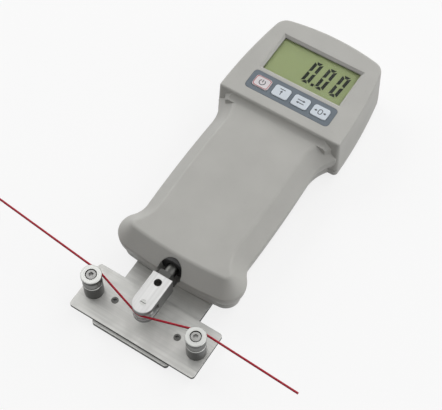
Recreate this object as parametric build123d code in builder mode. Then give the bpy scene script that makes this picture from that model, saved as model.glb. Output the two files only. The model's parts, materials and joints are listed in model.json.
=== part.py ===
"""Hand-held digital force gauge on a base plate, with a three-roller head for thread tension.

The gauge lies on its back. X runs across it, +Y runs from the rollers to the display and +Z
points up out of the display. The origin is on the underside of the base plate, at the middle
of the whole length. All sizes are in millimetres.
"""
from build123d import *
import os
from math import acos, asin, atan2, cos, degrees, hypot, pi, radians, sin, sqrt, tan

os.makedirs("parts", exist_ok=True)

# --- Driving sizes: the casing -------------------------------------------------------------
casing_length = 197.8
front_reach = 43.7            # base plate in front of the casing
handle_depth = 28.5
head_depth = 33.5
rear_depth = 6.0              # rear shell, up to the parting line
wall = 2.3
handle_half_width = 37.2      # at the waist, on the widest line
flare_half_width = 43.7       # at the rounded bottom corners
head_half_width = 45.1        # on its widest line, at the parting line
head_length = 75.3            # from the step to the top end, on the parting line

# outline of the handle, on its widest line
end_radius = 300.0
corner_radius = 12.5
flare_angle = 40.0
waist_radius = 15.0
belly_angle = 2.2
neck_radius = 25.0
neck_margin = 1.8             # the neck ends this far inside the head's corners
neck_start = 105.0            # from the bottom end
flank_tuck = 3.3              # how far the flank draws in at the parting line
widest_height = 18.0          # widest line above the casing's back
shoulder_bevel = 9.6          # slope from the widest line in and up to the crown
ridge_radius = 3.0            # rounding where the slope meets the crown

# outline of the head
neck_overlap = 10.0           # how far the handle runs on into the head
head_top_radius = 155.0
head_top_corner = 10.0
head_low_corner = 3.0
head_widest_up = 5.0          # the widest line lies this far above the step
head_side_radius = 350.0      # the sides are long arcs
head_draft = 1.3              # drawn in from the parting line to the face
face_edge_radius = 1.4
step_fillet = 4.0
back_edge_radius = 1.6
seam_depth = 0.5
seam_height = 0.7

# --- Driving sizes: display and keys -------------------------------------------------------
window_width = 56.4
window_height = 28.8
window_from_top = 32.2
window_bevel = 1.6
lens_lip = 1.6
lens_thickness = 1.2
lcd_thickness = 2.6
lcd_gap = 0.4
keypad_width = 61.1
keypad_height = 15.5
keypad_from_top = 58.45
keypad_corner = 2.8
keypad_thickness = 0.7
key_width = 11.4
key_height = 8.8
key_pitch = 14.2
key_corner = 1.8
key_proud = 0.6
key_clearance = 0.2
key_flange = 1.0
key_travel = 0.5
stem_radius = 2.0
dome_radius = 3.0
dome_height = 0.9
board_thickness = 1.6
board_width = 56.0
board_height = 59.8
board_drop = 8.6              # board top below the face's inner side
board_screw_radius = 1.2
lcd_margin = 3.2
lcd_low_margin = 2.7
lcd_frame_inset = 3.0
lcd_edge = 0.3
key_edge_radius = 0.4
key_flange_width = 0.8
key_flange_gap = 0.1
dome_gap = 0.15

# --- Driving sizes: load cell and spindle --------------------------------------------------
spindle_height = 18.5         # axis above the casing's back
spindle_radius = 4.0
spindle_port_radius = 8.0
spindle_port_wall = 1.6
spindle_port_depth = 9.0
seal_thickness = 3.0
running_gap = 0.05
seated_gap = 0.02
spindle_stroke = 0.25
stop_gap = 0.35
cell_width = 24.0
cell_length = 34.0
cell_thickness = 12.7
cell_slot = 2.0
cell_slot_shift = 6.5
cell_bore_radius = 3.6
cell_edge_radius = 1.0
cell_stud_radius = 3.0
cell_stud_length = 7.5
cell_from_end = 16.4          # first face of the cell from the casing's end
cell_bolt_flats = 10.0
cell_bolt_head = 4.0
seal_from_end = 5.0
bracket_thickness = 5.0
bracket_foot = 14.0
bracket_height = 8.0          # underside of the foot above the casing's back
foot_thickness = 4.0
bracket_screw_spacing = 18.0

# --- Driving sizes: battery bay ------------------------------------------------------------
battery_radius = 7.25
battery_length = 50.5
battery_cap_radius = 2.7
battery_cap_height = 1.0
battery_play = 0.4
contact_width = 11.6
contact_thickness = 0.5
spring_base_radius = 3.6
spring_tip_radius = 2.4
battery_count = 4
battery_pitch = 14.9
contact_space = 2.9
bay_wall = 1.5
bay_from_top = 14.5
door_lip = 1.2
door_edge = 0.9
door_tab = 9.0
door_rib_pitch = 2.4
door_ribs = 5
door_ribs_from_top = 8.0

# --- Driving sizes: plates and rollers -----------------------------------------------------
base_thickness = 3.0
base_width = 54.0
base_length = 148.0
cross_width = 88.75
cross_depth = 32.6
cross_thickness = 2.2
cross_from_front = 1.7
cross_corner = 2.0
plate_screw_spacing = 44.8
plate_screw_from_front = 18.5
plate_screw_radius = 1.25
plate_screw_head = 2.2
plate_hex_radius = 1.3
plate_hex_depth = 1.0
mount_spacing_x = 36.0
mount_spacing_y = 72.0
mount_from_end = 20.0
mount_screw_radius = 2.0
mount_screw_head = 3.8
insert_radius = 2.9
insert_length = 6.0
post_spacing = 73.4
post_from_front = 17.2
spacer_radius = 6.1
roller_height = 9.0
roller_top_radius = 6.4
roller_low_radius = 6.0
roller_root_radius = 5.05
roller_cap_height = 2.2
roller_low_height = 1.4
roller_edge = 0.3
groove_height = 1.4           # rounded bottom of the thread groove
groove_depth = 0.15
centre_rim_radius = 5.8
centre_root_radius = 4.45
centre_rim_height = 0.7
bush_radius = 2.9
guide_screw_radius = 2.0
guide_head_radius = 3.2
guide_head_height = 2.6
guide_head_recess = 0.2
guide_hex_radius = 1.45
guide_hex_depth = 1.5
clevis_width = 13.3
clevis_height = 13.6
clevis_length = 27.4
clevis_slot = 6.5
clevis_slot_depth = 12.6
clevis_from_end = 5.1         # rear face of the block ahead of the casing's end
clevis_edge = 0.3
spindle_insert = 10.0
cross_bore_radius = 2.45
cross_bore_from_rear = 5.5
axle_radius = 1.5
axle_head_radius = 1.9
axle_head_height = 1.0
axle_tip = 2.2
axle_tip_taper = 1.2
axle_slot = 0.6
side_gap = 0.2
nut_across_flats = 13.0
nut_thickness = 3.6
thread_radius = 0.7
thread_gap = 0.3
thread_left_length = 89.0
thread_right_length = 66.7
thread_left_angle = -5.34     # degrees from the X axis
thread_right_angle = -2.05
knot_radius = 1.9
knot_length = 4.4
knot_edge = 0.8

# --- Driving sizes: screws, bosses and clearances ------------------------------------------
fit_gap = 0.15
head_gap = 0.1
casing_screw_radius = 1.33
casing_boss_radius = 3.2
casing_boss_wall = 1.2
casing_screw_hole = 1.7
casing_head_radius = 2.8
casing_head_height = 2.2
casing_head_depth = 3.0
casing_screw_length = 16.0
board_boss_radius = 2.2
board_head_radius = 2.0
board_head_height = 1.4
board_screw_length = 6.0
door_head_radius = 2.4
insert_boss_wall = 1.6
bracket_head_radius = 2.8
bracket_head_height = 2.0
casing_screw_side = 6.0       # lower head screws, from the head's widest line
casing_screw_up = 12.0        # and from the step
casing_screw_top_side = 11.0
casing_screw_drop = 9.6
end_screw_side = 3.0
end_screw_up = 14.0
board_screw_side = 3.5
board_screw_low = 37.1        # below the window's middle
board_screw_top_side = 8.0
board_screw_high = 18.4       # above the window's middle
board_shift = 9.7             # board's middle below the window's middle

# --- Places worked out from the sizes ------------------------------------------------------
total_length = front_reach + casing_length
front_y = -total_length / 2
end_y = front_y + front_reach
top_y = total_length / 2
back_z = base_thickness
parting_z = back_z + rear_depth
widest_z = back_z + widest_height
handle_z = back_z + handle_depth
face_z = back_z + head_depth
inner_face_z = face_z - wall
floor_z = back_z + wall
step_y = top_y - head_length
axis_z = back_z + spindle_height
cross_z = base_thickness + cross_thickness

# the bottom corners sit inside the end's large arc; the ramp joins them to the waist
corner_x = flare_half_width - corner_radius
end_sweep = degrees(asin(corner_x / (end_radius - corner_radius)))
ramp_length = (
    corner_x + corner_radius * cos(radians(flare_angle)) - handle_half_width
    - waist_radius * (cos(radians(belly_angle)) - cos(radians(flare_angle)))
) / sin(radians(flare_angle))
corner_y = end_y + end_radius - sqrt((end_radius - corner_radius) ** 2 - corner_x ** 2)
waist_end_y = (
    corner_y + corner_radius * sin(radians(flare_angle)) + ramp_length * cos(radians(flare_angle))
    + waist_radius * (sin(radians(flare_angle)) + sin(radians(belly_angle)))
)
belly_radius = (end_y + neck_start - waist_end_y) / 2 / sin(radians(belly_angle))
neck_angle = degrees(acos(
    cos(radians(belly_angle))
    - (head_half_width - neck_margin - handle_half_width) / neck_radius
))
inside_y = step_y + neck_overlap


def handle_outline(inset):
    """The handle's outline, drawn in by inset from its widest line."""
    with BuildSketch(mode=Mode.PRIVATE) as outline:
        with BuildLine():
            end_arc = JernArc((0, end_y + inset), (1, 0), end_radius - inset, end_sweep)
            corner_sweep = 90 + flare_angle - end_sweep
            corner = JernArc(end_arc @ 1, end_arc % 1, corner_radius - inset, corner_sweep)
            ramp = Line(corner @ 1, corner @ 1 + (corner % 1) * ramp_length)
            waist_sweep = flare_angle + belly_angle
            waist = JernArc(ramp @ 1, ramp % 1, waist_radius + inset, -waist_sweep)
            belly = JernArc(waist @ 1, waist % 1, belly_radius - inset, 2 * belly_angle)
            neck_sweep = neck_angle + belly_angle
            neck = JernArc(belly @ 1, belly % 1, neck_radius + inset, -neck_sweep)
            flank = Line(neck @ 1, ((neck @ 1).X, inside_y))
            Line(flank @ 1, (0, inside_y))
            mirror(about=Plane.YZ)
        make_face()
    return outline.sketch


def head_outline(inset):
    """The head's outline, drawn in by inset from the parting line."""
    side_centre = head_half_width - head_side_radius
    corner_room = head_low_corner - inset
    with BuildSketch(mode=Mode.PRIVATE) as outline:
        with Locations((0, top_y - head_top_radius)):
            Circle(head_top_radius - inset)
        with Locations((side_centre, step_y + head_widest_up)):
            Circle(head_side_radius - inset, mode=Mode.INTERSECT)
        with Locations((-side_centre, step_y + head_widest_up)):
            Circle(head_side_radius - inset, mode=Mode.INTERSECT)
        with Locations((0, step_y + inset)):
            Rectangle(
                2 * head_half_width, head_top_radius,
                align=(Align.CENTER, Align.MIN), mode=Mode.INTERSECT,
            )
        fillet(outline.vertices().group_by(Axis.Y)[-1], radius=head_top_corner - inset)
        if corner_room > 0:
            fillet(outline.vertices().group_by(Axis.Y)[0], radius=corner_room)
    return outline.sketch


def handle_crown(skin, rise):
    """The handle above its widest line, with bevelled shoulders, raised at the top by rise."""
    with BuildPart(mode=Mode.PRIVATE) as crown:
        with BuildSketch(Plane.XY.offset(widest_z)):
            add(handle_outline(skin))
        extrude(amount=handle_z + rise - skin - widest_z)
        rim = crown.edges().group_by(Axis.Z)[-1].sort_by(Axis.Y)[:-1]
        chamfer(rim, length=shoulder_bevel - skin)
        if ridge_radius > skin:
            ridge = crown.edges().group_by(Axis.Z)[-1].sort_by(Axis.Y)[:-1]
            fillet(ridge, radius=ridge_radius - skin)
    return crown.part


def handle_form(skin):
    """The handle above the parting line, drawn in by skin on every side but the cut."""
    with BuildPart(mode=Mode.PRIVATE) as form:
        with BuildSketch(Plane.XY.offset(parting_z)):
            add(handle_outline(flank_tuck + skin))
        with BuildSketch(Plane.XY.offset((parting_z + widest_z) / 2)):
            add(handle_outline(flank_tuck / 4 + skin))
        with BuildSketch(Plane.XY.offset(widest_z)):
            add(handle_outline(skin))
        loft()
        add(handle_crown(skin, 0))
    return form.part


def head_form(skin):
    """The head above the parting line, drawn in by skin on every side but the cut."""
    with BuildPart(mode=Mode.PRIVATE) as form:
        with BuildSketch(Plane.XY.offset(parting_z)):
            add(head_outline(skin))
        with BuildSketch(Plane.XY.offset(face_z - skin)):
            add(head_outline(head_draft + skin))
        loft(ruled=True)
    return form.part


def step_cove():
    """The concave blend from the handle's crown up to the head's lower wall."""
    draft = head_draft * (handle_z - parting_z) / (face_z - parting_z)
    wall_y = step_y + draft
    with BuildPart(mode=Mode.PRIVATE) as cove:
        with BuildSketch(Plane.YZ):
            with BuildLine():
                cove_start = (wall_y - step_fillet, handle_z)
                cove_end = (wall_y, handle_z + step_fillet)
                RadiusArc(cove_start, cove_end, -step_fillet)
                Polyline(
                    cove_end,
                    (wall_y + wall, handle_z + step_fillet),
                    (wall_y + wall, handle_z - shoulder_bevel),
                    (wall_y - step_fillet, handle_z - shoulder_bevel),
                    cove_start,
                )
            make_face()
        extrude(amount=head_half_width, both=True)
        add(handle_crown(step_fillet, 2 * step_fillet), mode=Mode.INTERSECT)
    return cove.part


def ring_cut(radius, depth):
    """A cylinder on the spindle's axis, from the casing's end inwards."""
    with BuildPart(Plane.XZ.offset(-end_y), mode=Mode.PRIVATE) as cut:
        with Locations((0, axis_z, 0)):
            Cylinder(radius, depth, align=(Align.CENTER, Align.CENTER, Align.MAX))
    return cut.part


# --- Front shell: moulded housing with the waisted handle and the raised display head -------
window_y = top_y - window_from_top
keypad_y = top_y - keypad_from_top
key_places = [((number - 1.5) * key_pitch, keypad_y) for number in range(4)]
head_screw_places = [
    (side * (head_half_width - inwards), y)
    for inwards, y in (
        (casing_screw_side, step_y + casing_screw_up),
        (casing_screw_top_side, top_y - casing_screw_drop),
    )
    for side in (-1, 1)
]
end_screw_places = [(side * (corner_x - end_screw_side), end_y + end_screw_up) for side in (-1, 1)]
casing_screw_places = head_screw_places + end_screw_places
casing_pilot_radius = casing_screw_radius + seated_gap
board_screw_places = [
    (side * (board_width / 2 - inwards), y)
    for inwards, y in (
        (board_screw_side, window_y - board_screw_low),
        (board_screw_top_side, window_y + board_screw_high),
    )
    for side in (-1, 1)
]
board_top_z = inner_face_z - board_drop

with BuildPart() as outer_form:
    add(handle_form(0))
    add(head_form(0))
    face_rim = outer_form.faces().sort_by(Axis.Z)[-1].edges()
    fillet(face_rim, radius=face_edge_radius)
    add(step_cove())

# the tube round the spindle port starts half-way through the wall
with BuildPart() as port_tube:
    add(ring_cut(spindle_port_radius + spindle_port_wall, spindle_port_depth))
    add(handle_form(wall / 2), mode=Mode.INTERSECT)

with BuildPart() as front_shell:
    add(outer_form.part)
    add(handle_form(wall), mode=Mode.SUBTRACT)
    add(head_form(wall), mode=Mode.SUBTRACT)
    add(port_tube.part)
    # screw bosses, from the parting line up into the roof of the handle and of the head
    with BuildSketch(Plane.XY.offset(parting_z)):
        with Locations(head_screw_places):
            Circle(casing_boss_radius)
    extrude(amount=inner_face_z + wall / 2 - parting_z)
    with BuildSketch(Plane.XY.offset(parting_z)):
        with Locations(end_screw_places):
            Circle(casing_boss_radius)
    extrude(amount=handle_z - wall / 2 - parting_z)
    add(outer_form.part, mode=Mode.INTERSECT)
    with BuildSketch(Plane.XY.offset(board_top_z)):
        with Locations(board_screw_places):
            Circle(board_boss_radius)
    extrude(amount=inner_face_z + wall / 2 - board_top_z)
    # pilot holes
    with Locations(*[(x, y, parting_z) for x, y in casing_screw_places]):
        Cylinder(casing_pilot_radius, 2 * casing_screw_length, mode=Mode.SUBTRACT)
    with Locations(*[(x, y, board_top_z) for x, y in board_screw_places]):
        Cylinder(board_screw_radius + seated_gap, 2 * board_screw_length, mode=Mode.SUBTRACT)
    # spindle port through the bottom end
    add(ring_cut(spindle_port_radius, 2 * spindle_port_depth), mode=Mode.SUBTRACT)
    # display window with a bevelled surround
    with BuildSketch(Plane.XY.offset(face_z)):
        with Locations((0, window_y)):
            Rectangle(window_width + 2 * window_bevel, window_height + 2 * window_bevel)
    extrude(amount=-window_bevel, taper=45, mode=Mode.SUBTRACT)
    with BuildSketch(Plane.XY.offset(face_z)):
        with Locations((0, window_y)):
            Rectangle(window_width, window_height)
    extrude(amount=-2 * wall, mode=Mode.SUBTRACT)
    # bed of the key panel and the four key openings
    with BuildSketch(Plane.XY.offset(face_z - keypad_thickness)):
        with Locations((0, keypad_y)):
            RectangleRounded(keypad_width, keypad_height, keypad_corner)
    extrude(amount=keypad_thickness, mode=Mode.SUBTRACT)
    with BuildSketch(Plane.XY.offset(face_z)):
        with Locations(key_places):
            RectangleRounded(
                key_width + 2 * key_clearance, key_height + 2 * key_clearance, key_corner
            )
    extrude(amount=-2 * wall, mode=Mode.SUBTRACT)
front_shell.part.label = "front_shell"
export_step(front_shell.part, "parts/front_shell.step")

# --- Rear shell: shallow tub with the battery bay, the screw bosses and the insert bosses ----
bay_width = (battery_count - 1) * battery_pitch + 2 * (battery_radius + battery_play)
bay_length = battery_length + 2 * contact_space
bay_y = top_y - bay_from_top - bay_length / 2
bay_roof_z = floor_z + 2 * (battery_radius + battery_play)
door_width = bay_width + 2 * door_edge
door_top = bay_y + bay_length / 2 + door_edge
door_bottom = bay_y - bay_length / 2 - door_tab
door_screw_place = (0, bay_y - bay_length / 2 - door_tab / 2)
insert_places = [
    (side * mount_spacing_x / 2, end_y + mount_from_end + row * mount_spacing_y)
    for side in (-1, 1) for row in (0, 1)
]
cell_y = end_y + cell_from_end
cell_end_y = cell_y + cell_length
bracket_y = cell_end_y + bracket_thickness
bracket_screw_places = [
    (side * bracket_screw_spacing / 2, bracket_y + bracket_foot / 2) for side in (-1, 1)
]
bracket_z = back_z + bracket_height

with BuildPart() as rear_shell:
    with BuildSketch(Plane.XY.offset(back_z)):
        add(handle_outline(flank_tuck))
        add(head_outline(0))
    extrude(amount=rear_depth)
    fillet(rear_shell.faces().sort_by(Axis.Z)[0].edges(), radius=back_edge_radius)
    with BuildSketch(Plane.XY.offset(floor_z)):
        add(handle_outline(flank_tuck + wall))
        add(head_outline(wall))
    extrude(amount=rear_depth, mode=Mode.SUBTRACT)
    # seam groove along the parting line
    with BuildSketch(Plane.XY.offset(parting_z - seam_height)):
        add(handle_outline(flank_tuck - 1))
        add(head_outline(0))
        offset(amount=1)
        add(handle_outline(flank_tuck + seam_depth), mode=Mode.SUBTRACT)
        add(head_outline(seam_depth), mode=Mode.SUBTRACT)
    extrude(amount=seam_height, mode=Mode.SUBTRACT)
    # bosses
    with BuildSketch(Plane.XY.offset(floor_z)):
        with Locations(casing_screw_places):
            Circle(casing_boss_radius + casing_boss_wall)
        with Locations(door_screw_place):
            Circle(casing_boss_radius)
    extrude(amount=parting_z - floor_z)
    with BuildSketch(Plane.XY.offset(floor_z)):
        with Locations(insert_places):
            Circle(insert_radius + insert_boss_wall)
    extrude(amount=insert_length)
    with BuildSketch(Plane.XY.offset(floor_z)):
        with Locations(bracket_screw_places):
            Circle(casing_boss_radius)
    extrude(amount=bracket_z - floor_z)
    # battery bay: walls and roof, open towards the back
    with BuildSketch(Plane.XY.offset(floor_z)):
        with Locations((0, bay_y)):
            Rectangle(bay_width + 2 * bay_wall, bay_length + 2 * bay_wall)
    extrude(amount=bay_roof_z + bay_wall - floor_z)
    with BuildSketch(Plane.XY.offset(back_z)):
        with Locations((0, bay_y)):
            Rectangle(bay_width, bay_length)
    extrude(amount=bay_roof_z - back_z, mode=Mode.SUBTRACT)
    with BuildSketch(Plane.XY.offset(back_z)):
        with Locations((0, (door_top + door_bottom) / 2)):
            Rectangle(door_width, door_top - door_bottom)
    extrude(amount=door_lip, mode=Mode.SUBTRACT)
    # screw holes from the back
    with Locations(Plane.XY.offset(back_z).rotated((180, 0, 0))):
        with Locations(*[(x, -y) for x, y in casing_screw_places]):
            CounterBoreHole(casing_screw_hole, casing_head_radius + fit_gap, casing_head_depth)
    with Locations((*door_screw_place, parting_z)):
        Cylinder(casing_pilot_radius, 4 * rear_depth, mode=Mode.SUBTRACT)
    with Locations(*[(x, y, floor_z) for x, y in insert_places]):
        Cylinder(insert_radius + seated_gap, 4 * insert_length, mode=Mode.SUBTRACT)
    with Locations(*[(x, y, bracket_z) for x, y in bracket_screw_places]):
        Cylinder(casing_pilot_radius, bracket_height, mode=Mode.SUBTRACT)
rear_shell.part.label = "rear_shell"
export_step(rear_shell.part, "parts/rear_shell.step")

# --- Battery door, its screw, the cells and their contacts ----------------------------------
with BuildPart() as battery_door:
    with BuildSketch(Plane.XY.offset(back_z)):
        with Locations((0, (door_top + door_bottom) / 2)):
            Rectangle(door_width - 2 * fit_gap, door_top - door_bottom - 2 * fit_gap)
    extrude(amount=door_lip)
    with BuildSketch(Plane.XY.offset(back_z + door_lip)):
        with Locations((0, bay_y)):
            Rectangle(bay_width - 2 * fit_gap, bay_length - 2 * fit_gap)
    extrude(amount=wall - door_lip)
    # finger ribs across the outside
    with BuildSketch(Plane.XY.offset(back_z)):
        with Locations((0, door_top - door_ribs_from_top)):
            with GridLocations(0, door_rib_pitch, 1, door_ribs):
                Rectangle(bay_width / 3, door_rib_pitch / 2)
    extrude(amount=door_lip / 3, mode=Mode.SUBTRACT)
    with Locations(Plane.XY.offset(back_z).rotated((180, 0, 0))):
        with Locations((door_screw_place[0], -door_screw_place[1])):
            CounterSinkHole(casing_screw_hole, door_head_radius + fit_gap)
battery_door.part.label = "battery_door"
export_step(battery_door.part, "parts/battery_door.step")


def countersunk_screw(shank, head, length):
    """A flat-headed screw along +Z, with the middle of its head at the origin."""
    with BuildPart(mode=Mode.PRIVATE) as screw:
        with BuildSketch(Plane.XZ):
            with BuildLine():
                Polyline((0, 0), (head, 0), (shank, head - shank), (shank, length), (0, length))
                Line((0, length), (0, 0))
            make_face()
        revolve(axis=Axis.Z)
    return screw.part


def cap_screw(shank, head, head_height, length):
    """A round-headed screw along +Z, with the underside of its head at the origin."""
    with BuildPart(mode=Mode.PRIVATE) as screw:
        Cylinder(head, head_height, align=(Align.CENTER, Align.CENTER, Align.MAX))
        fillet(screw.edges().sort_by(Axis.Z)[0], radius=head_height / 3)
        Cylinder(shank, length, align=(Align.CENTER, Align.CENTER, Align.MIN))
    return screw.part


with BuildPart() as battery_door_screw:
    with Locations((*door_screw_place, back_z + head_gap)):
        add(countersunk_screw(casing_screw_radius, door_head_radius, rear_depth - head_gap))
battery_door_screw.part.label = "battery_door_screw"
export_step(battery_door_screw.part, "parts/battery_door_screw.step")

battery_z = floor_z + battery_radius + battery_play
battery_can_length = battery_length - battery_cap_height
with BuildPart() as batteries:
    for number in range(battery_count):
        battery_x = (number - (battery_count - 1) / 2) * battery_pitch
        facing = 1 - 2 * (number % 2)
        can_y = bay_y - facing * battery_cap_height / 2
        cap_y = bay_y + facing * battery_can_length / 2
        with Locations(Location((battery_x, can_y, battery_z), (90, 0, 0))):
            Cylinder(battery_radius, battery_can_length)
        with Locations(Location((battery_x, cap_y, battery_z), (90, 0, 0))):
            Cylinder(battery_cap_radius, battery_cap_height)
batteries.part.label = "batteries"
export_step(batteries.part, "parts/batteries.step")

contact_gap = contact_space - contact_thickness
with BuildPart() as battery_contacts:
    for number in range(battery_count):
        battery_x = (number - (battery_count - 1) / 2) * battery_pitch
        for side in (-1, 1):
            plate_y = bay_y + side * (bay_length - contact_thickness) / 2
            spring_y = bay_y + side * (battery_length + contact_gap) / 2
            with Locations((battery_x, plate_y, battery_z)):
                Box(contact_width, contact_thickness, contact_width)
            with Locations(Location((battery_x, spring_y, battery_z), (-side * 90, 0, 0))):
                Cone(spring_base_radius, spring_tip_radius, contact_gap)
battery_contacts.part.label = "battery_contacts"
export_step(battery_contacts.part, "parts/battery_contacts.step")

# --- Display: window, liquid crystal panel and its frame on the board ------------------------
lens_z = inner_face_z - lens_thickness
with BuildPart() as display_window:
    with BuildSketch(Plane.XY.offset(lens_z)):
        with Locations((0, window_y)):
            Rectangle(window_width + 2 * lens_lip, window_height + 2 * lens_lip)
    extrude(amount=lens_thickness)
display_window.part.label = "display_window"
export_step(display_window.part, "parts/display_window.step")

lcd_top_z = lens_z - lcd_gap
lcd_low_z = lcd_top_z - lcd_thickness
with BuildPart() as lcd_panel:
    with BuildSketch(Plane.XY.offset(lcd_low_z)):
        with Locations((0, window_y)):
            Rectangle(window_width + lcd_margin, window_height + lcd_low_margin)
    extrude(amount=lcd_thickness)
    chamfer(lcd_panel.faces().sort_by(Axis.Z)[-1].edges(), length=lcd_edge)
lcd_panel.part.label = "lcd_panel"
export_step(lcd_panel.part, "parts/lcd_panel.step")

with BuildPart() as lcd_frame:
    with BuildSketch(Plane.XY.offset(board_top_z)):
        with Locations((0, window_y)):
            Rectangle(window_width + lcd_margin, window_height + lcd_low_margin)
            Rectangle(
                window_width - lcd_frame_inset,
                window_height - lcd_frame_inset,
                mode=Mode.SUBTRACT,
            )
    extrude(amount=lcd_low_z - board_top_z)
lcd_frame.part.label = "lcd_frame"
export_step(lcd_frame.part, "parts/lcd_frame.step")

# --- Circuit board with its switches and screws ----------------------------------------------
board_z = board_top_z - board_thickness
with BuildPart() as main_board:
    with BuildSketch(Plane.XY.offset(board_z)):
        with Locations((0, window_y - board_shift)):
            Rectangle(board_width, board_height)
        with Locations(board_screw_places):
            Circle(board_screw_radius + fit_gap, mode=Mode.SUBTRACT)
    extrude(amount=board_thickness)
main_board.part.label = "main_board"
export_step(main_board.part, "parts/main_board.step")

with BuildPart() as board_screws:
    with Locations(*[(x, y, board_z) for x, y in board_screw_places]):
        add(cap_screw(board_screw_radius, board_head_radius, board_head_height, board_screw_length))
board_screws.part.label = "board_screws"
export_step(board_screws.part, "parts/board_screws.step")

dome_ball_radius = (dome_radius ** 2 + dome_height ** 2) / 2 / dome_height
with BuildPart() as dome_switches:
    with Locations(*[(x, y, board_top_z + dome_height) for x, y in key_places]):
        Sphere(dome_ball_radius, align=(Align.CENTER, Align.CENTER, Align.MAX))
    split(bisect_by=Plane.XY.offset(board_top_z), keep=Keep.TOP)
dome_switches.part.label = "dome_switches"
export_step(dome_switches.part, "parts/dome_switches.step")

# --- Key panel and the four keys -------------------------------------------------------------
with BuildPart() as keypad_panel:
    with BuildSketch(Plane.XY.offset(face_z - keypad_thickness)):
        with Locations((0, keypad_y)):
            RectangleRounded(
                keypad_width - 2 * fit_gap, keypad_height - 2 * fit_gap, keypad_corner - fit_gap
            )
        with Locations(key_places):
            RectangleRounded(
                key_width + 2 * key_clearance,
                key_height + 2 * key_clearance,
                key_corner,
                mode=Mode.SUBTRACT,
            )
    extrude(amount=keypad_thickness)
keypad_panel.part.label = "keypad_panel"
export_step(keypad_panel.part, "parts/keypad_panel.step")

flange_z = inner_face_z - key_flange_gap - key_flange
stem_z = board_top_z + dome_height + key_travel + dome_gap
for name, place in zip(("key_power", "key_peak", "key_unit", "key_zero"), key_places):
    with BuildPart() as key:
        with BuildSketch(Plane.XY.offset(flange_z)):
            with Locations(place):
                RectangleRounded(
                    key_width + 2 * key_flange_width, key_height + 2 * key_flange_width, key_corner
                )
        extrude(amount=key_flange)
        with BuildSketch(Plane.XY.offset(flange_z)):
            with Locations(place):
                RectangleRounded(key_width, key_height, key_corner)
        extrude(amount=face_z + key_proud - flange_z)
        fillet(key.faces().sort_by(Axis.Z)[-1].edges(), radius=key_edge_radius)
        with BuildSketch(Plane.XY.offset(stem_z)):
            with Locations(place):
                Circle(stem_radius)
        extrude(amount=flange_z - stem_z)
    key.part.label = name
    export_step(key.part, f"parts/{name}.step")

# --- Load cell, its bracket and its fasteners ------------------------------------------------
cell_middle_y = cell_y + cell_length / 2
with BuildPart() as load_cell:
    with Locations((0, cell_middle_y, axis_z)):
        Box(cell_width, cell_length, cell_thickness)
    fillet(load_cell.edges().filter_by(Axis.Z), radius=cell_edge_radius)
    # two slots from opposite sides leave an S, with a bore through its middle bar
    for side in (-1, 1):
        with BuildSketch(Plane.XY.offset(axis_z)):
            with Locations((side * cell_width / 6, cell_middle_y + side * cell_slot_shift)):
                SlotOverall(cell_width, cell_slot)
        extrude(amount=cell_thickness, both=True, mode=Mode.SUBTRACT)
    with Locations((0, cell_middle_y, axis_z)):
        Cylinder(cell_bore_radius, 2 * cell_thickness, mode=Mode.SUBTRACT)
    stud_bore = 2 * (cell_stud_length + stop_gap)
    with Locations(Location((0, cell_y, axis_z), (90, 0, 0))):
        Cylinder(cell_stud_radius + running_gap, stud_bore, mode=Mode.SUBTRACT)
    with Locations(Location((0, cell_end_y, axis_z), (90, 0, 0))):
        Cylinder(cell_stud_radius + seated_gap, stud_bore, mode=Mode.SUBTRACT)
load_cell.part.label = "load_cell"
export_step(load_cell.part, "parts/load_cell.step")

bracket_top_z = axis_z + cell_thickness / 2
foot_end_y = bracket_y + bracket_foot
foot_top_z = bracket_z + foot_thickness
with BuildPart() as load_cell_bracket:
    with BuildSketch(Plane.YZ):
        with BuildLine():
            Polyline(
                (cell_end_y, bracket_z),
                (foot_end_y, bracket_z),
                (foot_end_y, foot_top_z),
                (bracket_y, foot_top_z),
                (bracket_y, bracket_top_z),
                (cell_end_y, bracket_top_z),
                close=True,
            )
        make_face()
    extrude(amount=cell_width / 2, both=True)
    with Locations(Location((0, bracket_y, axis_z), (90, 0, 0))):
        Cylinder(cell_stud_radius + fit_gap, 4 * bracket_thickness, mode=Mode.SUBTRACT)
    with Locations(*[(x, y, foot_top_z) for x, y in bracket_screw_places]):
        Hole(casing_screw_hole)
load_cell_bracket.part.label = "load_cell_bracket"
export_step(load_cell_bracket.part, "parts/load_cell_bracket.step")

with BuildPart() as bracket_screws:
    with Locations(*[Location((x, y, foot_top_z), (180, 0, 0)) for x, y in bracket_screw_places]):
        add(cap_screw(
            casing_screw_radius, bracket_head_radius, bracket_head_height,
            foot_thickness + bracket_height / 2,
        ))
bracket_screws.part.label = "bracket_screws"
export_step(bracket_screws.part, "parts/bracket_screws.step")

with BuildPart() as load_cell_bolt:
    with BuildSketch(Plane.XZ.offset(-bracket_y)):
        with Locations((0, axis_z)):
            RegularPolygon(cell_bolt_flats / 2, 6, major_radius=False)
    extrude(amount=-cell_bolt_head)
    with BuildSketch(Plane.XZ.offset(-bracket_y)):
        with Locations((0, axis_z)):
            Circle(cell_stud_radius)
    extrude(amount=bracket_thickness + cell_stud_length)
load_cell_bolt.part.label = "load_cell_bolt"
export_step(load_cell_bolt.part, "parts/load_cell_bolt.step")

with BuildPart() as spindle_seal:
    with BuildSketch(Plane.XZ.offset(-end_y - seal_from_end)):
        with Locations((0, axis_z)):
            Circle(spindle_port_radius - seated_gap)
            Circle(spindle_radius + stop_gap, mode=Mode.SUBTRACT)
    extrude(amount=-seal_thickness)
spindle_seal.part.label = "spindle_seal"
export_step(spindle_seal.part, "parts/spindle_seal.step")

# --- Measuring spindle with its nut, clevis block and roller axle ------------------------------
block_y = end_y - clevis_from_end
block_end_y = block_y - clevis_length
axle_y = block_end_y + clevis_width / 2
cross_bore_y = block_y - cross_bore_from_rear
shoulder_y = cell_y - stop_gap

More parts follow.
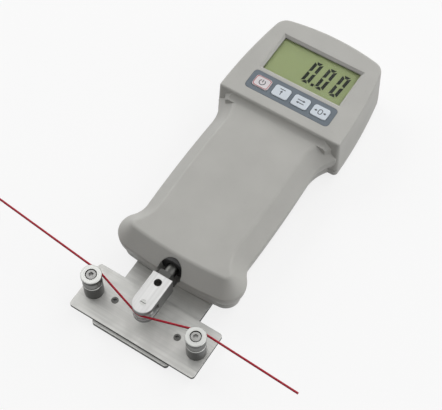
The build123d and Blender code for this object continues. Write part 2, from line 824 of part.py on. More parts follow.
with BuildPart() as measuring_spindle:
    with BuildSketch(Plane.XZ.offset(-shoulder_y)):
        with Locations((0, axis_z)):
            Circle(spindle_radius)
    extrude(amount=shoulder_y - block_y + spindle_insert)
    with BuildSketch(Plane.XZ.offset(-shoulder_y)):
        with Locations((0, axis_z)):
            Circle(cell_stud_radius)
    extrude(amount=-cell_stud_length)
    chamfer(measuring_spindle.faces().sort_by(Axis.Y)[0].edges(), length=clevis_edge)
    chamfer(measuring_spindle.faces().sort_by(Axis.Y)[-1].edges(), length=clevis_edge)
    with Locations((0, cross_bore_y, axis_z)):
        Cylinder(cross_bore_radius, 3 * spindle_radius, mode=Mode.SUBTRACT)
measuring_spindle.part.label = "measuring_spindle"
export_step(measuring_spindle.part, "parts/measuring_spindle.step")

with BuildPart() as spindle_nut:
    with BuildSketch(Plane.XZ.offset(-block_y)):
        with Locations((0, axis_z)):
            RegularPolygon(nut_across_flats / 2, 6, major_radius=False)
            Circle(spindle_radius + seated_gap, mode=Mode.SUBTRACT)
    extrude(amount=-nut_thickness)
spindle_nut.part.label = "spindle_nut"
export_step(spindle_nut.part, "parts/spindle_nut.step")

ear_top_z = axis_z + clevis_height / 2
ear_low_z = axis_z - clevis_height / 2
with BuildPart() as clevis_block:
    with BuildSketch(Plane.XY.offset(axis_z)):
        with Locations((0, (block_y + axle_y) / 2)):
            Rectangle(clevis_width, block_y - axle_y)
        with Locations((0, axle_y)):
            Circle(clevis_width / 2)
    extrude(amount=clevis_height / 2, both=True)
    chamfer(clevis_block.faces().filter_by(Axis.Z).edges(), length=clevis_edge)
    with BuildSketch(Plane.YZ):
        with Locations((block_end_y, axis_z)):
            Rectangle(2 * clevis_slot_depth, clevis_slot)
    extrude(amount=clevis_width, both=True, mode=Mode.SUBTRACT)
    with Locations(Location((0, block_y, axis_z), (90, 0, 0))):
        Cylinder(
            spindle_radius + seated_gap, 2 * (spindle_insert + clevis_edge), mode=Mode.SUBTRACT
        )
    with Locations((0, cross_bore_y, axis_z)):
        Cylinder(cross_bore_radius, 2 * clevis_height, mode=Mode.SUBTRACT)
    with Locations((0, axle_y, ear_top_z)):
        CounterBoreHole(
            axle_radius + seated_gap, axle_head_radius + seated_gap, axle_head_height + head_gap
        )
clevis_block.part.label = "clevis_block"
export_step(clevis_block.part, "parts/clevis_block.step")

head_seat_z = ear_top_z - axle_head_height - head_gap
with BuildPart() as roller_axle:
    with BuildSketch(Plane.XZ):
        with BuildLine():
            Polyline(
                (0, ear_low_z - axle_tip),
                (axle_radius, ear_low_z - axle_tip + axle_tip_taper),
                (axle_radius, head_seat_z),
                (axle_head_radius, head_seat_z),
                (axle_head_radius, ear_top_z - head_gap),
                (0, ear_top_z - head_gap),
                close=True,
            )
        make_face()
    revolve(axis=Axis.Z)
    with Locations((0, 0, ear_top_z)):
        Box(3 * axle_head_radius, axle_slot, axle_head_height + head_gap, mode=Mode.SUBTRACT)
roller_axle.part = roller_axle.part.moved(Location((0, axle_y, 0)))
roller_axle.part.label = "roller_axle"
export_step(roller_axle.part, "parts/roller_axle.step")


def grooved_roller(bore, height, rims, rim_heights, root):
    """A roller along +Z whose thread groove is centred at z = 0, with plain edges broken.

    rims and rim_heights each hold the lower and the upper value.
    """
    low_rim, high_rim = rims
    low_rim_height, high_rim_height = rim_heights
    groove = height - low_rim_height - high_rim_height
    low = -groove / 2 - low_rim_height
    high = groove / 2 + high_rim_height
    nose = groove_height / 2
    nose_radius = (nose ** 2 + groove_depth ** 2) / 2 / groove_depth
    with BuildPart(mode=Mode.PRIVATE) as roller:
        with BuildSketch(Plane.XZ):
            with BuildLine():
                Polyline(
                    (bore, low),
                    (low_rim - roller_edge, low),
                    (low_rim, low + roller_edge),
                    (low_rim, -groove / 2),
                    (root + groove_depth, -nose),
                )
                ThreePointArc((root + groove_depth, -nose), (root, 0), (root + groove_depth, nose))
                Polyline(
                    (root + groove_depth, nose),
                    (high_rim, groove / 2),
                    (high_rim, high - roller_edge),
                    (high_rim - roller_edge, high),
                    (bore, high),
                    (bore, low),
                )
            make_face()
        revolve(axis=Axis.Z)
    return roller.part


with BuildPart() as centre_roller:
    with Locations((0, axle_y, axis_z)):
        add(grooved_roller(
            axle_radius + running_gap,
            clevis_slot - 2 * side_gap,
            (centre_rim_radius, centre_rim_radius),
            (centre_rim_height, centre_rim_height),
            centre_root_radius,
        ))
centre_roller.part.label = "centre_roller"
export_step(centre_roller.part, "parts/centre_roller.step")

# --- Guide rollers on their posts --------------------------------------------------------------
post_y = front_y + post_from_front
post_places = {"left": -post_spacing / 2, "right": post_spacing / 2}
guide_groove = roller_height - roller_low_height - roller_cap_height
roller_z = axis_z - guide_groove / 2 - roller_low_height
roller_end_z = roller_z + roller_height
guide_head_z = roller_end_z - guide_head_recess
bush_top_z = guide_head_z - guide_head_height
spacer_top_z = roller_z - side_gap

for name, post_x in post_places.items():
    with BuildPart() as guide_roller:
        with Locations((post_x, post_y, axis_z)):
            add(grooved_roller(
                bush_radius + running_gap,
                roller_height,
                (roller_low_radius, roller_top_radius),
                (roller_low_height, roller_cap_height),
                roller_root_radius,
            ))
        with Locations((post_x, post_y, roller_end_z)):
            CounterBoreHole(
                bush_radius + running_gap,
                guide_head_radius + 2 * side_gap,
                roller_end_z - bush_top_z + side_gap,
            )
    guide_roller.part.label = f"guide_roller_{name}"
    export_step(guide_roller.part, f"parts/guide_roller_{name}.step")

with BuildPart() as roller_spacers:
    with Locations(*[(x, post_y, cross_z) for x in post_places.values()]):
        Cylinder(
            spacer_radius, spacer_top_z - cross_z, align=(Align.CENTER, Align.CENTER, Align.MIN)
        )
    chamfer(roller_spacers.edges().filter_by(GeomType.CIRCLE), length=roller_edge)
    with Locations(*[(x, post_y, spacer_top_z) for x in post_places.values()]):
        Hole(guide_screw_radius + seated_gap)
roller_spacers.part.label = "roller_spacers"
export_step(roller_spacers.part, "parts/roller_spacers.step")

with BuildPart() as guide_bushes:
    with BuildSketch(Plane.XY.offset(spacer_top_z)):
        with Locations(*[(x, post_y) for x in post_places.values()]):
            Circle(bush_radius)
            Circle(guide_screw_radius + seated_gap, mode=Mode.SUBTRACT)
    extrude(amount=bush_top_z - spacer_top_z)
guide_bushes.part.label = "guide_bushes"
export_step(guide_bushes.part, "parts/guide_bushes.step")

with BuildPart() as guide_screws:
    with BuildSketch(Plane.XY.offset(bush_top_z)):
        with Locations(*[(x, post_y) for x in post_places.values()]):
            Circle(guide_head_radius)
    extrude(amount=guide_head_height)
    chamfer(guide_screws.faces().sort_by(Axis.Z)[-2:].edges(), length=roller_edge)
    with BuildSketch(Plane.XY.offset(guide_head_z)):
        with Locations(*[(x, post_y) for x in post_places.values()]):
            RegularPolygon(guide_hex_radius, 6, major_radius=False)
    extrude(amount=-guide_hex_depth, mode=Mode.SUBTRACT)
    with BuildSketch(Plane.XY.offset(bush_top_z)):
        with Locations(*[(x, post_y) for x in post_places.values()]):
            Circle(guide_screw_radius)
    extrude(amount=base_thickness - bush_top_z)
guide_screws.part.label = "guide_screws"
export_step(guide_screws.part, "parts/guide_screws.step")

# --- Plates and the screws that hold them --------------------------------------------------------
cross_y = front_y + cross_from_front + cross_depth / 2
plate_screw_places = [
    (side * plate_screw_spacing / 2, front_y + plate_screw_from_front) for side in (-1, 1)
]

with BuildPart() as cross_plate:
    with BuildSketch(Plane.XY.offset(base_thickness)):
        with Locations((0, cross_y)):
            RectangleRounded(cross_width, cross_depth, cross_corner)
        with Locations(*[(x, post_y) for x in post_places.values()]):
            Circle(guide_screw_radius + seated_gap, mode=Mode.SUBTRACT)
    extrude(amount=cross_thickness)
    with Locations(*[(x, y, cross_z) for x, y in plate_screw_places]):
        CounterSinkHole(plate_screw_radius + seated_gap, plate_screw_head + fit_gap)
cross_plate.part.label = "cross_plate"
export_step(cross_plate.part, "parts/cross_plate.step")

with BuildPart() as base_plate:
    with BuildSketch():
        with Locations((0, front_y + base_length / 2)):
            RectangleRounded(base_width, base_length, cross_corner)
        with Locations(plate_screw_places):
            Circle(plate_screw_radius + seated_gap, mode=Mode.SUBTRACT)
    extrude(amount=base_thickness)
    with Locations(Plane.XY.rotated((180, 0, 0))):
        with Locations(*[(x, -y) for x, y in insert_places]):
            CounterSinkHole(mount_screw_radius + fit_gap, mount_screw_head + fit_gap)
base_plate.part.label = "base_plate"
export_step(base_plate.part, "parts/base_plate.step")

with BuildPart() as plate_screws:
    with Locations(*[
        Location((x, y, cross_z - head_gap), (180, 0, 0)) for x, y in plate_screw_places
    ]):
        add(countersunk_screw(plate_screw_radius, plate_screw_head, cross_z - 3 * head_gap))
    with BuildSketch(Plane.XY.offset(cross_z - head_gap)):
        with Locations(plate_screw_places):
            RegularPolygon(plate_hex_radius, 6)
    extrude(amount=-plate_hex_depth, mode=Mode.SUBTRACT)
plate_screws.part.label = "plate_screws"
export_step(plate_screws.part, "parts/plate_screws.step")

with BuildPart() as mount_screws:
    with Locations(*[(x, y, head_gap) for x, y in insert_places]):
        add(countersunk_screw(
            mount_screw_radius, mount_screw_head, base_thickness + insert_length - 2 * head_gap
        ))
mount_screws.part.label = "mount_screws"
export_step(mount_screws.part, "parts/mount_screws.step")

with BuildPart() as threaded_inserts:
    with BuildSketch(Plane.XY.offset(back_z)):
        with Locations(insert_places):
            Circle(insert_radius)
            Circle(mount_screw_radius + seated_gap, mode=Mode.SUBTRACT)
    extrude(amount=insert_length)
threaded_inserts.part.label = "threaded_inserts"
export_step(threaded_inserts.part, "parts/threaded_inserts.step")

with BuildPart() as casing_screws:
    with Locations(*[(x, y, back_z + casing_head_depth) for x, y in casing_screw_places]):
        add(cap_screw(
            casing_screw_radius, casing_head_radius, casing_head_height, casing_screw_length
        ))
casing_screws.part.label = "casing_screws"
export_step(casing_screws.part, "parts/casing_screws.step")

# --- The thread under test, tight over the three rollers ------------------------------------------
guide_wrap = roller_root_radius + thread_gap + thread_radius
centre_wrap = centre_root_radius + thread_gap + thread_radius
reach = hypot(post_spacing / 2, axle_y - post_y)
rise_angle = degrees(asin((guide_wrap + centre_wrap) / reach) - atan2(axle_y - post_y, post_spacing / 2))


def thread_corner(centre_x, centre_y, wrap, before, after, side):
    """Where the thread's straight runs before and after a roller would cross."""
    distance = side * wrap / cos(radians(after - before) / 2)
    facing = radians((before + after) / 2)
    return (centre_x - distance * sin(facing), centre_y + distance * cos(facing))


left_corner = thread_corner(
    -post_spacing / 2, post_y, guide_wrap, thread_left_angle, -rise_angle, 1
)
centre_corner = thread_corner(0, axle_y, centre_wrap, -rise_angle, rise_angle, -1)
right_corner = thread_corner(
    post_spacing / 2, post_y, guide_wrap, rise_angle, thread_right_angle, 1
)
left_end = (
    left_corner[0] - thread_left_length * cos(radians(thread_left_angle)),
    left_corner[1] - thread_left_length * sin(radians(thread_left_angle)),
)
right_end = (
    right_corner[0] + thread_right_length * cos(radians(thread_right_angle)),
    right_corner[1] + thread_right_length * sin(radians(thread_right_angle)),
)
thread_route = [left_end, left_corner, centre_corner, right_corner, right_end]
wrap_radii = [guide_wrap, centre_wrap, guide_wrap]
with BuildPart() as test_thread:
    with BuildLine() as thread_line:
        FilletPolyline(*[(x, y, axis_z) for x, y in thread_route], radius=wrap_radii)
    thread_start = Plane(thread_line.line @ 0, z_dir=thread_line.line % 0)
    with BuildSketch(thread_start):
        Circle(thread_radius)
    sweep()
test_thread.part.label = "test_thread"
export_step(test_thread.part, "parts/test_thread.step")



def knot_form():
    """A tight overhand knot as a rounded drum along +Z."""
    with BuildPart(mode=Mode.PRIVATE) as knot:
        Cylinder(knot_radius, knot_length, align=(Align.CENTER, Align.CENTER, Align.MIN))
        fillet(knot.edges(), radius=knot_edge)
    return knot.part


with BuildPart() as thread_knot:
    with Locations(Plane(thread_line.line @ 0, z_dir=-(thread_line.line % 0))):
        add(knot_form())
thread_knot.part.label = "thread_knot"
export_step(thread_knot.part, "parts/thread_knot.step")

thread_length = sum(edge.length for edge in thread_line.edges())
print("thread points:", [(round(x, 2), round(y, 2)) for x, y in thread_route], "z", axis_z)
print("thread wrap radii:", [round(radius, 2) for radius in wrap_radii])
print(f"thread length {thread_length:.2f} mm")
print(f"thread volume {test_thread.part.volume:.3f}, {pi * thread_radius ** 2 * thread_length:.3f}")
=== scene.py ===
"""Looks of a hand-held force gauge with a three-roller thread tension head, built on its CAD frame.

Every length is in metres, in the frame of the CAD model: +Y runs from the rollers to the display
and +Z points up out of the display.
"""
from __future__ import annotations

import json
import logging
import math
from dataclasses import dataclass, field
from enum import Enum

import bpy
import numpy as np
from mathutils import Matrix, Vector

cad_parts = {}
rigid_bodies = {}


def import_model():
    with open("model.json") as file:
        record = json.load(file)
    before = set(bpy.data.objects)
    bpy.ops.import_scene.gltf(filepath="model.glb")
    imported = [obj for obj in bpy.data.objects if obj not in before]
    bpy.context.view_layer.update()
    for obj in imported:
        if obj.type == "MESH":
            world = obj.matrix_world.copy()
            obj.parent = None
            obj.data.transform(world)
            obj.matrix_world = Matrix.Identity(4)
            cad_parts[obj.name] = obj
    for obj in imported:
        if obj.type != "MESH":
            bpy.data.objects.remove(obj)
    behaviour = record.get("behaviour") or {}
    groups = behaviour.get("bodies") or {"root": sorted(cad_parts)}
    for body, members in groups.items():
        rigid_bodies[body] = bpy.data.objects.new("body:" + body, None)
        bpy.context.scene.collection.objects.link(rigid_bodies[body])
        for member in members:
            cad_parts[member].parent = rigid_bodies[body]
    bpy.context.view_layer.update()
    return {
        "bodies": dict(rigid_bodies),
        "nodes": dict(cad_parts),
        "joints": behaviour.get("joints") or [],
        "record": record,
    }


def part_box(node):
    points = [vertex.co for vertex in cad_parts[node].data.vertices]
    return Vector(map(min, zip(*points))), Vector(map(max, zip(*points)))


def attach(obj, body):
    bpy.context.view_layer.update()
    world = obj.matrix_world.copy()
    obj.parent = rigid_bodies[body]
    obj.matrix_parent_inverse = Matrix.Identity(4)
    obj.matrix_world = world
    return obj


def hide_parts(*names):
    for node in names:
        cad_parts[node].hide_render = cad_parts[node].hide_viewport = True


MM = 0.001
LOG = logging.getLogger("force_gauge")

Colour = tuple[float, float, float]
Point = tuple[float, float, float]
Flat = tuple[float, float]
Socket = bpy.types.NodeSocket
Tree = bpy.types.NodeTree
Material = bpy.types.Material


def linear(red: int, green: int, blue: int) -> Colour:
    """Scene-linear colour of an 8-bit display colour, by the display's own curve."""
    shares = np.array((red, green, blue), float) / 255.0
    low = shares / 12.92
    high = ((shares + 0.055) / 1.055) ** 2.4
    return tuple(float(value) for value in np.where(shares <= 0.04045, low, high))


def rgba(colour: Colour, lift: float = 1.0) -> tuple[float, float, float, float]:
    """A colour with full alpha, made lighter or darker by lift."""
    return (colour[0] * lift, colour[1] * lift, colour[2] * lift, 1.0)


UNIT = (0.0, 1.0)
WHITE = rgba((1.0, 1.0, 1.0))


# --- Shader graphs ---


class Graph:
    """A node tree with short calls for adding and joining nodes."""

    def __init__(self, tree: Tree) -> None:
        """Keeps the tree that the calls add to."""
        self.tree = tree

    def add(self, kind: str, inputs: dict | None = None, **settings: object) -> bpy.types.Node:
        """Adds one node.

        Args:
            kind: Blender's name of the node type, less ShaderNode.
            inputs: values or sockets for the node's inputs, by socket name or number.
            **settings: attributes of the node.
        """
        node = self.tree.nodes.new(kind if kind.startswith("Node") else f"ShaderNode{kind}")
        for name, value in settings.items():
            setattr(node, name, value)
        for name, value in (inputs or {}).items():
            self.feed(node.inputs[name], value)
        return node

    def feed(self, target: Socket, value: object) -> None:
        """Joins an input to a socket, or sets it to a value."""
        if isinstance(value, Socket):
            self.tree.links.new(value, target)
        else:
            target.default_value = value

    def math(self, operation: str, first: object, second: object = 0.0) -> Socket:
        """The output of one Math node."""
        return self.add("Math", {0: first, 1: second}, operation=operation).outputs[0]

    def vector(self, operation: str, *values: object, output: str = "Vector") -> Socket:
        """An output of one Vector Math node."""
        node = self.add("VectorMath", dict(enumerate(values)), operation=operation)
        return node.outputs[output]

    def noise(self, place: Socket, scale: object, detail: float, warp: float = 0.0) -> Socket:
        """The value of one noise texture."""
        inputs = {"Vector": place, "Scale": scale, "Detail": detail, "Distortion": warp}
        return self.add("TexNoise", inputs).outputs["Fac"]

    def ramp(self, value: object, span: Flat, start: float = 0.0, end: float = 1.0) -> Socket:
        """A value mapped linearly from a span to start..end, and held at both ends."""
        names = ("Value", "From Min", "From Max", "To Min", "To Max")
        inputs = dict(zip(names, (value, *span, start, end)))
        return self.add("MapRange", inputs).outputs["Result"]

    def around(self, share: Socket, middle: float, spread: float) -> Socket:
        """A number that a share takes from below a middle to above it."""
        return self.ramp(share, UNIT, middle - spread, middle + spread)

    def mix(self, share: object, first: object, second: object) -> Socket:
        """A colour between two others."""
        node = self.add("Mix", data_type="RGBA")
        for name, value in (("Factor", share), ("A", first), ("B", second)):
            self.feed(next(s for s in node.inputs if s.name == name and s.enabled), value)
        return next(s for s in node.outputs if s.enabled)

    def tones(self, share: object, colour: Colour, spread: float) -> Socket:
        """A colour made darker and lighter by the same spread."""
        return self.mix(share, rgba(colour, 1.0 - spread), rgba(colour, 1.0 + spread))

    def seen(self) -> Socket:
        """One where a ray comes from the camera, a reflection or glass, nought elsewhere."""
        rays = self.add("LightPath")
        direct = self.math("MAXIMUM", rays.outputs["Is Camera Ray"], rays.outputs["Is Glossy Ray"])
        return self.math("MAXIMUM", direct, rays.outputs["Is Transmission Ray"])


class Effect(Enum):
    """The shared effects, each one shader node group."""

    GRAIN = "moulded_grain"
    BRUSHED = "brushed_lines"
    TURNED = "turned_rings"
    EDGES = "edge_wear"
    HANDLING = "handling_marks"


class EffectLibrary:
    """Builds each shared shader node group once and hands it out."""

    slow_span: Flat = (0.3, 0.7)
    patch_span: Flat = (0.35, 0.65)
    speck_span: Flat = (0.66, 0.76)
    edge_span: Flat = (0.99, 0.80)
    least_wear: float = 0.25
    bevel_samples: int = 6

    def __init__(self) -> None:
        """Starts with no group built."""
        self.groups: dict[Effect, Tree] = {}
        self.makers = {
            Effect.GRAIN: self.make_grain,
            Effect.BRUSHED: self.make_brushed,
            Effect.TURNED: self.make_turned,
            Effect.EDGES: self.make_edges,
            Effect.HANDLING: self.make_handling,
        }

    def get(self, effect: Effect) -> Tree:
        """The node group of an effect, built at its first use."""
        if effect not in self.groups:
            self.groups[effect] = self.makers[effect]()
        return self.groups[effect]

    def open_group(
        self, effect: Effect, numbers: dict[str, float]
    ) -> tuple[Graph, dict[str, Socket]]:
        """Starts a group with a Vector input and number inputs of the given usual values.

        Returns:
            The group's graph and its input sockets by name.
        """
        tree = bpy.data.node_groups.new(effect.value, "ShaderNodeTree")
        tree.interface.new_socket("Vector", in_out="INPUT", socket_type="NodeSocketVector")
        for name, value in numbers.items():
            socket = tree.interface.new_socket(name, in_out="INPUT", socket_type="NodeSocketFloat")
            socket.default_value = value
        graph = Graph(tree)
        entry = graph.add("NodeGroupInput")
        return graph, {socket.name: socket for socket in entry.outputs if socket.name}

    def close_group(self, graph: Graph, **outputs: Socket) -> Tree:
        """Ends a group with the given number outputs and returns its tree."""
        for name in outputs:
            graph.tree.interface.new_socket(name, in_out="OUTPUT", socket_type="NodeSocketFloat")
        graph.add("NodeGroupOutput", outputs)
        return graph.tree

    def make_grain(self) -> Tree:
        """Spark-eroded mould grain: fine cells over soft noise, and a slow mottle."""
        graph, given = self.open_group(Effect.GRAIN, {"Grain Scale": 2200.0, "Mottle Scale": 45.0})
        place, scale = given["Vector"], given["Grain Scale"]
        cells = graph.add("TexVoronoi", {"Vector": place, "Scale": scale}, feature="SMOOTH_F1")
        height = graph.math("ADD", cells.outputs["Distance"], graph.noise(place, scale, detail=3.0))
        mottle = graph.noise(place, given["Mottle Scale"], detail=4.0)
        return self.close_group(
            graph, Height=graph.math("MULTIPLY", height, 0.5),
            Mottle=graph.ramp(mottle, self.slow_span),
        )

    def close_lines(
        self, graph: Graph, place: Socket, scale: Socket, details: Flat, coarser: float
    ) -> Tree:
        """Ends a group of tool marks: fine lines give its height, coarser ones its streaks."""
        fine = graph.noise(place, scale, details[0])
        broad = graph.noise(place, graph.math("MULTIPLY", scale, coarser), details[1])
        return self.close_group(graph, Height=fine, Streak=graph.ramp(broad, self.slow_span))

    def make_brushed(self) -> Tree:
        """Fine lines drawn out along X, broken up by a second, shorter set."""
        graph, given = self.open_group(Effect.BRUSHED, {"Line Scale": 5000.0, "Stretch": 60.0})
        squeeze = graph.math("DIVIDE", 1.0, given["Stretch"])
        scales = graph.add("CombineXYZ", {"X": squeeze, "Y": 1.0, "Z": 1.0})
        drawn = graph.vector("MULTIPLY", given["Vector"], scales.outputs[0])
        return self.close_lines(
            graph, drawn, given["Line Scale"], details=(4.0, 3.0), coarser=0.15
        )

    def make_turned(self) -> Tree:
        """Lathe rings: noise read at the distance from the Z axis and at the height only."""
        graph, given = self.open_group(Effect.TURNED, {"Ring Scale": 6000.0})
        parts = graph.add("SeparateXYZ", {0: given["Vector"]})
        squares = [graph.math("MULTIPLY", parts.outputs[x], parts.outputs[x]) for x in "XY"]
        away = graph.math("SQRT", graph.math("ADD", *squares))
        place = graph.add("CombineXYZ", {"X": away, "Y": parts.outputs["Z"]})
        return self.close_lines(
            graph, place.outputs[0], given["Ring Scale"], details=(3.0, 2.0), coarser=0.2
        )

    def make_edges(self) -> Tree:
        """A mask of the edges, where a rounded normal leaves the true one, broken by noise; it
        places worn edges and a painted highlight.
        """
        graph, given = self.open_group(Effect.EDGES, {"Radius": 0.0004, "Break Scale": 900.0})
        rounded = graph.add("Bevel", {"Radius": given["Radius"]}, samples=self.bevel_samples)
        true = graph.add("NewGeometry").outputs["Normal"]
        agreement = graph.vector("DOT_PRODUCT", rounded.outputs["Normal"], true, output="Value")
        noise = graph.noise(given["Vector"], given["Break Scale"], detail=4.0)
        edge = graph.ramp(agreement, self.edge_span)
        broken = graph.ramp(noise, self.patch_span, self.least_wear)
        return self.close_group(graph, Mask=graph.math("MULTIPLY", edge, broken))

    def make_handling(self) -> Tree:
        """Soft patches where hands and dust change the gloss, with fine scattered specks."""
        numbers = {"Patch Scale": 28.0, "Speck Scale": 700.0}
        graph, given = self.open_group(Effect.HANDLING, numbers)
        patches = graph.noise(given["Vector"], given["Patch Scale"], detail=5.0, warp=0.6)
        specks = graph.noise(given["Vector"], given["Speck Scale"], detail=2.0)
        return self.close_group(
            graph, Patch=graph.ramp(patches, self.patch_span),
            Speck=graph.ramp(specks, self.speck_span),
        )


EFFECTS = EffectLibrary()


class Surface:
    """A material under construction, with the object's coordinates and a Principled shader."""

    def __init__(self, name: str) -> None:
        """Makes an empty material with one Principled shader joined to its output."""
        self.material = bpy.data.materials.new(name)
        self.material.use_nodes = True
        tree = self.material.node_tree
        tree.nodes.clear()
        self.graph = Graph(tree)
        self.shader = self.graph.add("BsdfPrincipled")
        self.output = self.graph.add("OutputMaterial", {"Surface": self.shader.outputs[0]})
        self.place = self.graph.add("TexCoord").outputs["Object"]

    def effect(
        self, effect: Effect, place: Socket | None = None, **numbers: float
    ) -> bpy.types.NodeOutputs:
        """Adds a shared effect.

        Args:
            effect: which effect.
            place: the coordinates it reads, the object's own if None.
            **numbers: its inputs, with underscores for the spaces in their names.

        Returns:
            The outputs of the group's node.
        """
        node = self.graph.add("Group")
        node.node_tree = EFFECTS.get(effect)
        self.graph.feed(node.inputs["Vector"], place or self.place)
        for name, value in numbers.items():
            self.graph.feed(node.inputs[name.replace("_", " ")], value)
        return node.outputs

    def levelness(self) -> Socket:
        """How level the surface lies on the object: one on top and under, nought on its sides."""
        normal = self.graph.add("TexCoord").outputs["Normal"]
        parts = self.graph.add("SeparateXYZ", {0: normal})
        return self.graph.math("ABSOLUTE", parts.outputs["Z"])

    def set(self, **values: object) -> None:
        """Sets the shader's sockets, with underscores for the spaces in their names."""
        for name, value in values.items():
            self.graph.feed(self.shader.inputs[name.replace("_", " ")], value)

    def relief(self, height: Socket, depth: float, rounding: float) -> None:
        """Feeds the shader's normal from a height and from edges rounded by the given radius."""
        bevel = self.graph.add("Bevel", {"Radius": rounding}, samples=EFFECTS.bevel_samples)
        bump = self.graph.add(
            "Bump",
            {"Height": height, "Distance": depth, "Strength": 1.0, "Normal": bevel.outputs[0]},
        )
        self.set(Normal=bump.outputs[0])


@dataclass(frozen=True)
class Finish:
    """What a piece is made of, as a named material."""

    name: str
    colour: Colour

    def paint(self, surface: Surface, graph: Graph) -> None:
        """Joins up the shader."""
        raise NotImplementedError

    def build(self) -> Material:
        """The material of this finish."""
        surface = Surface(self.name)
        self.paint(surface, surface.graph)
        return surface.material


@dataclass(frozen=True)
class PlasticFinish(Finish):
    """Moulded plastic with a spark-eroded grain, a slow mottle, slightly polished edges and a
    painted highlight along them.
    """

    roughness: float = 0.5
    grain_scale: float = 2200.0
    grain_depth: float = 0.00002
    mottle: float = 0.04
    edge_radius: float = 0.0005
    # painted highlight: how much lighter the colour is along the edges
    edge_highlight_lift: float = 1.08
    edge_polish: float = 0.1
    speck: float = 0.25
    speck_tone: float = 0.7
    unevenness: float = 0.06
    coat: float = 0.0

    def paint(self, surface: Surface, graph: Graph) -> None:
        """Joins up the shader."""
        grain = surface.effect(Effect.GRAIN, Grain_Scale=self.grain_scale)
        edge = surface.effect(Effect.EDGES, Radius=self.edge_radius)["Mask"]
        marks = surface.effect(Effect.HANDLING)
        tone = graph.tones(grain["Mottle"], self.colour, self.mottle)
        # painted highlight: the colour is lightened along the edges
        tone = graph.mix(edge, tone, rgba(self.colour, self.edge_highlight_lift))
        specks = graph.math("MULTIPLY", marks["Speck"], self.speck)
        tone = graph.mix(specks, tone, rgba(self.colour, self.speck_tone))
        rough = graph.around(marks["Patch"], self.roughness, self.unevenness)
        rough = graph.math("SUBTRACT", rough, graph.math("MULTIPLY", edge, self.edge_polish))
        surface.set(Base_Color=tone, Roughness=rough, Coat_Weight=self.coat, Coat_Roughness=0.15)
        surface.relief(grain["Height"], self.grain_depth, self.edge_radius)


class Cut(Enum):
    """The direction that the tool marks of a metal follow."""

    ALONG_X = (0.0, 0.0, 0.0)
    ALONG_Y = (0.0, 0.0, math.pi / 2)
    ALONG_Z = (0.0, math.pi / 2, 0.0)
    ROUND = None


@dataclass(frozen=True)
class MetalFinish(Finish):
    """Bare metal with brushed or turned marks, a faint tarnish, a painted highlight along its edges
    and painted shade on its upright walls.
    """

    cut: Cut
    roughness: float = 0.35
    depth: float = 0.000004
    line_scale: float = 5000.0
    stretch: float = 60.0
    streak: float = 0.08
    edge_radius: float = 0.0002
    # painted highlight: how much lighter the colour is along the edges
    edge_highlight_lift: float = 1.25
    edge_reach: float = 1.5
    tarnish: float = 0.1
    tarnish_tone: float = 0.75
    tarnish_dulling: float = 0.08
    patch_scale: float = 60.0
    unevenness: float = 0.06
    axis: Point = (0.0, 0.0, 0.0)
    twin: bool = False
    # painted shade: the share of the colour left on upright walls, and the levelness over which it
    # fades in
    painted_wall_shade: float = 0.4
    wall_shade_span: Flat = (0.2, 0.9)

    def marks(self, surface: Surface) -> bpy.types.NodeOutputs:
        """The tool marks, read along the cut, or round the axis and its twins."""
        graph, place = surface.graph, surface.place
        if self.cut is not Cut.ROUND:
            turned = graph.add("Mapping", {"Vector": place, "Rotation": self.cut.value})
            return surface.effect(
                Effect.BRUSHED, turned.outputs[0],
                Line_Scale=self.line_scale, Stretch=self.stretch,
            )
        centre = self.axis
        if self.twin:
            place, centre = graph.vector("ABSOLUTE", place), tuple(map(abs, centre))
        shift = graph.vector("SUBTRACT", place, centre)
        return surface.effect(Effect.TURNED, shift, Ring_Scale=self.line_scale)

    def paint(self, surface: Surface, graph: Graph) -> None:
        """Joins up the shader."""
        lines = self.marks(surface)
        edge = surface.effect(Effect.EDGES, Radius=self.edge_radius * self.edge_reach)["Mask"]
        patches = surface.effect(Effect.HANDLING, Patch_Scale=self.patch_scale)["Patch"]
        tone = graph.tones(lines["Streak"], self.colour, self.streak)
        dull = graph.math("MULTIPLY", patches, self.tarnish)
        tone = graph.mix(dull, tone, rgba(self.colour, self.tarnish_tone))
        # painted shade: upright walls are darkened, standing in for the darker surroundings they
        # reflect
        wall_shade_mask = graph.ramp(surface.levelness(), self.wall_shade_span, 1.0, 0.0)
        tone = graph.mix(wall_shade_mask, tone, rgba(self.colour, self.painted_wall_shade))
        # painted highlight: the colour is lightened along the edges
        tone = graph.mix(edge, tone, rgba(self.colour, self.edge_highlight_lift))
        rough = graph.around(lines["Streak"], self.roughness, self.unevenness)
        dulling = graph.math("MULTIPLY", patches, self.tarnish_dulling)
        surface.set(Base_Color=tone, Roughness=graph.math("ADD", rough, dulling), Metallic=1.0)
        surface.relief(lines["Height"], self.depth, self.edge_radius)


@dataclass(frozen=True)
class PrintFinish(Finish):
    """Printed foil or ink: even colour, a very fine pebble and a thin clear coat."""

    roughness: float = 0.42
    unevenness: float = 0.05
    mottle: float = 0.03
    grain_scale: float = 3500.0
    mottle_scale: float = 120.0
    patch_scale: float = 90.0
    pebble: float = 0.000006
    coat: float = 0.15
    rounding: float = 0.0003

    def paint(self, surface: Surface, graph: Graph) -> None:
        """Joins up the shader."""
        grain = surface.effect(
            Effect.GRAIN, Grain_Scale=self.grain_scale, Mottle_Scale=self.mottle_scale
        )
        patches = surface.effect(Effect.HANDLING, Patch_Scale=self.patch_scale)["Patch"]
        tone = graph.tones(grain["Mottle"], self.colour, self.mottle)
        rough = graph.around(patches, self.roughness, self.unevenness)
        surface.set(Base_Color=tone, Roughness=rough, Coat_Weight=self.coat, Coat_Roughness=0.2)
        surface.relief(grain["Height"], self.pebble, self.rounding)


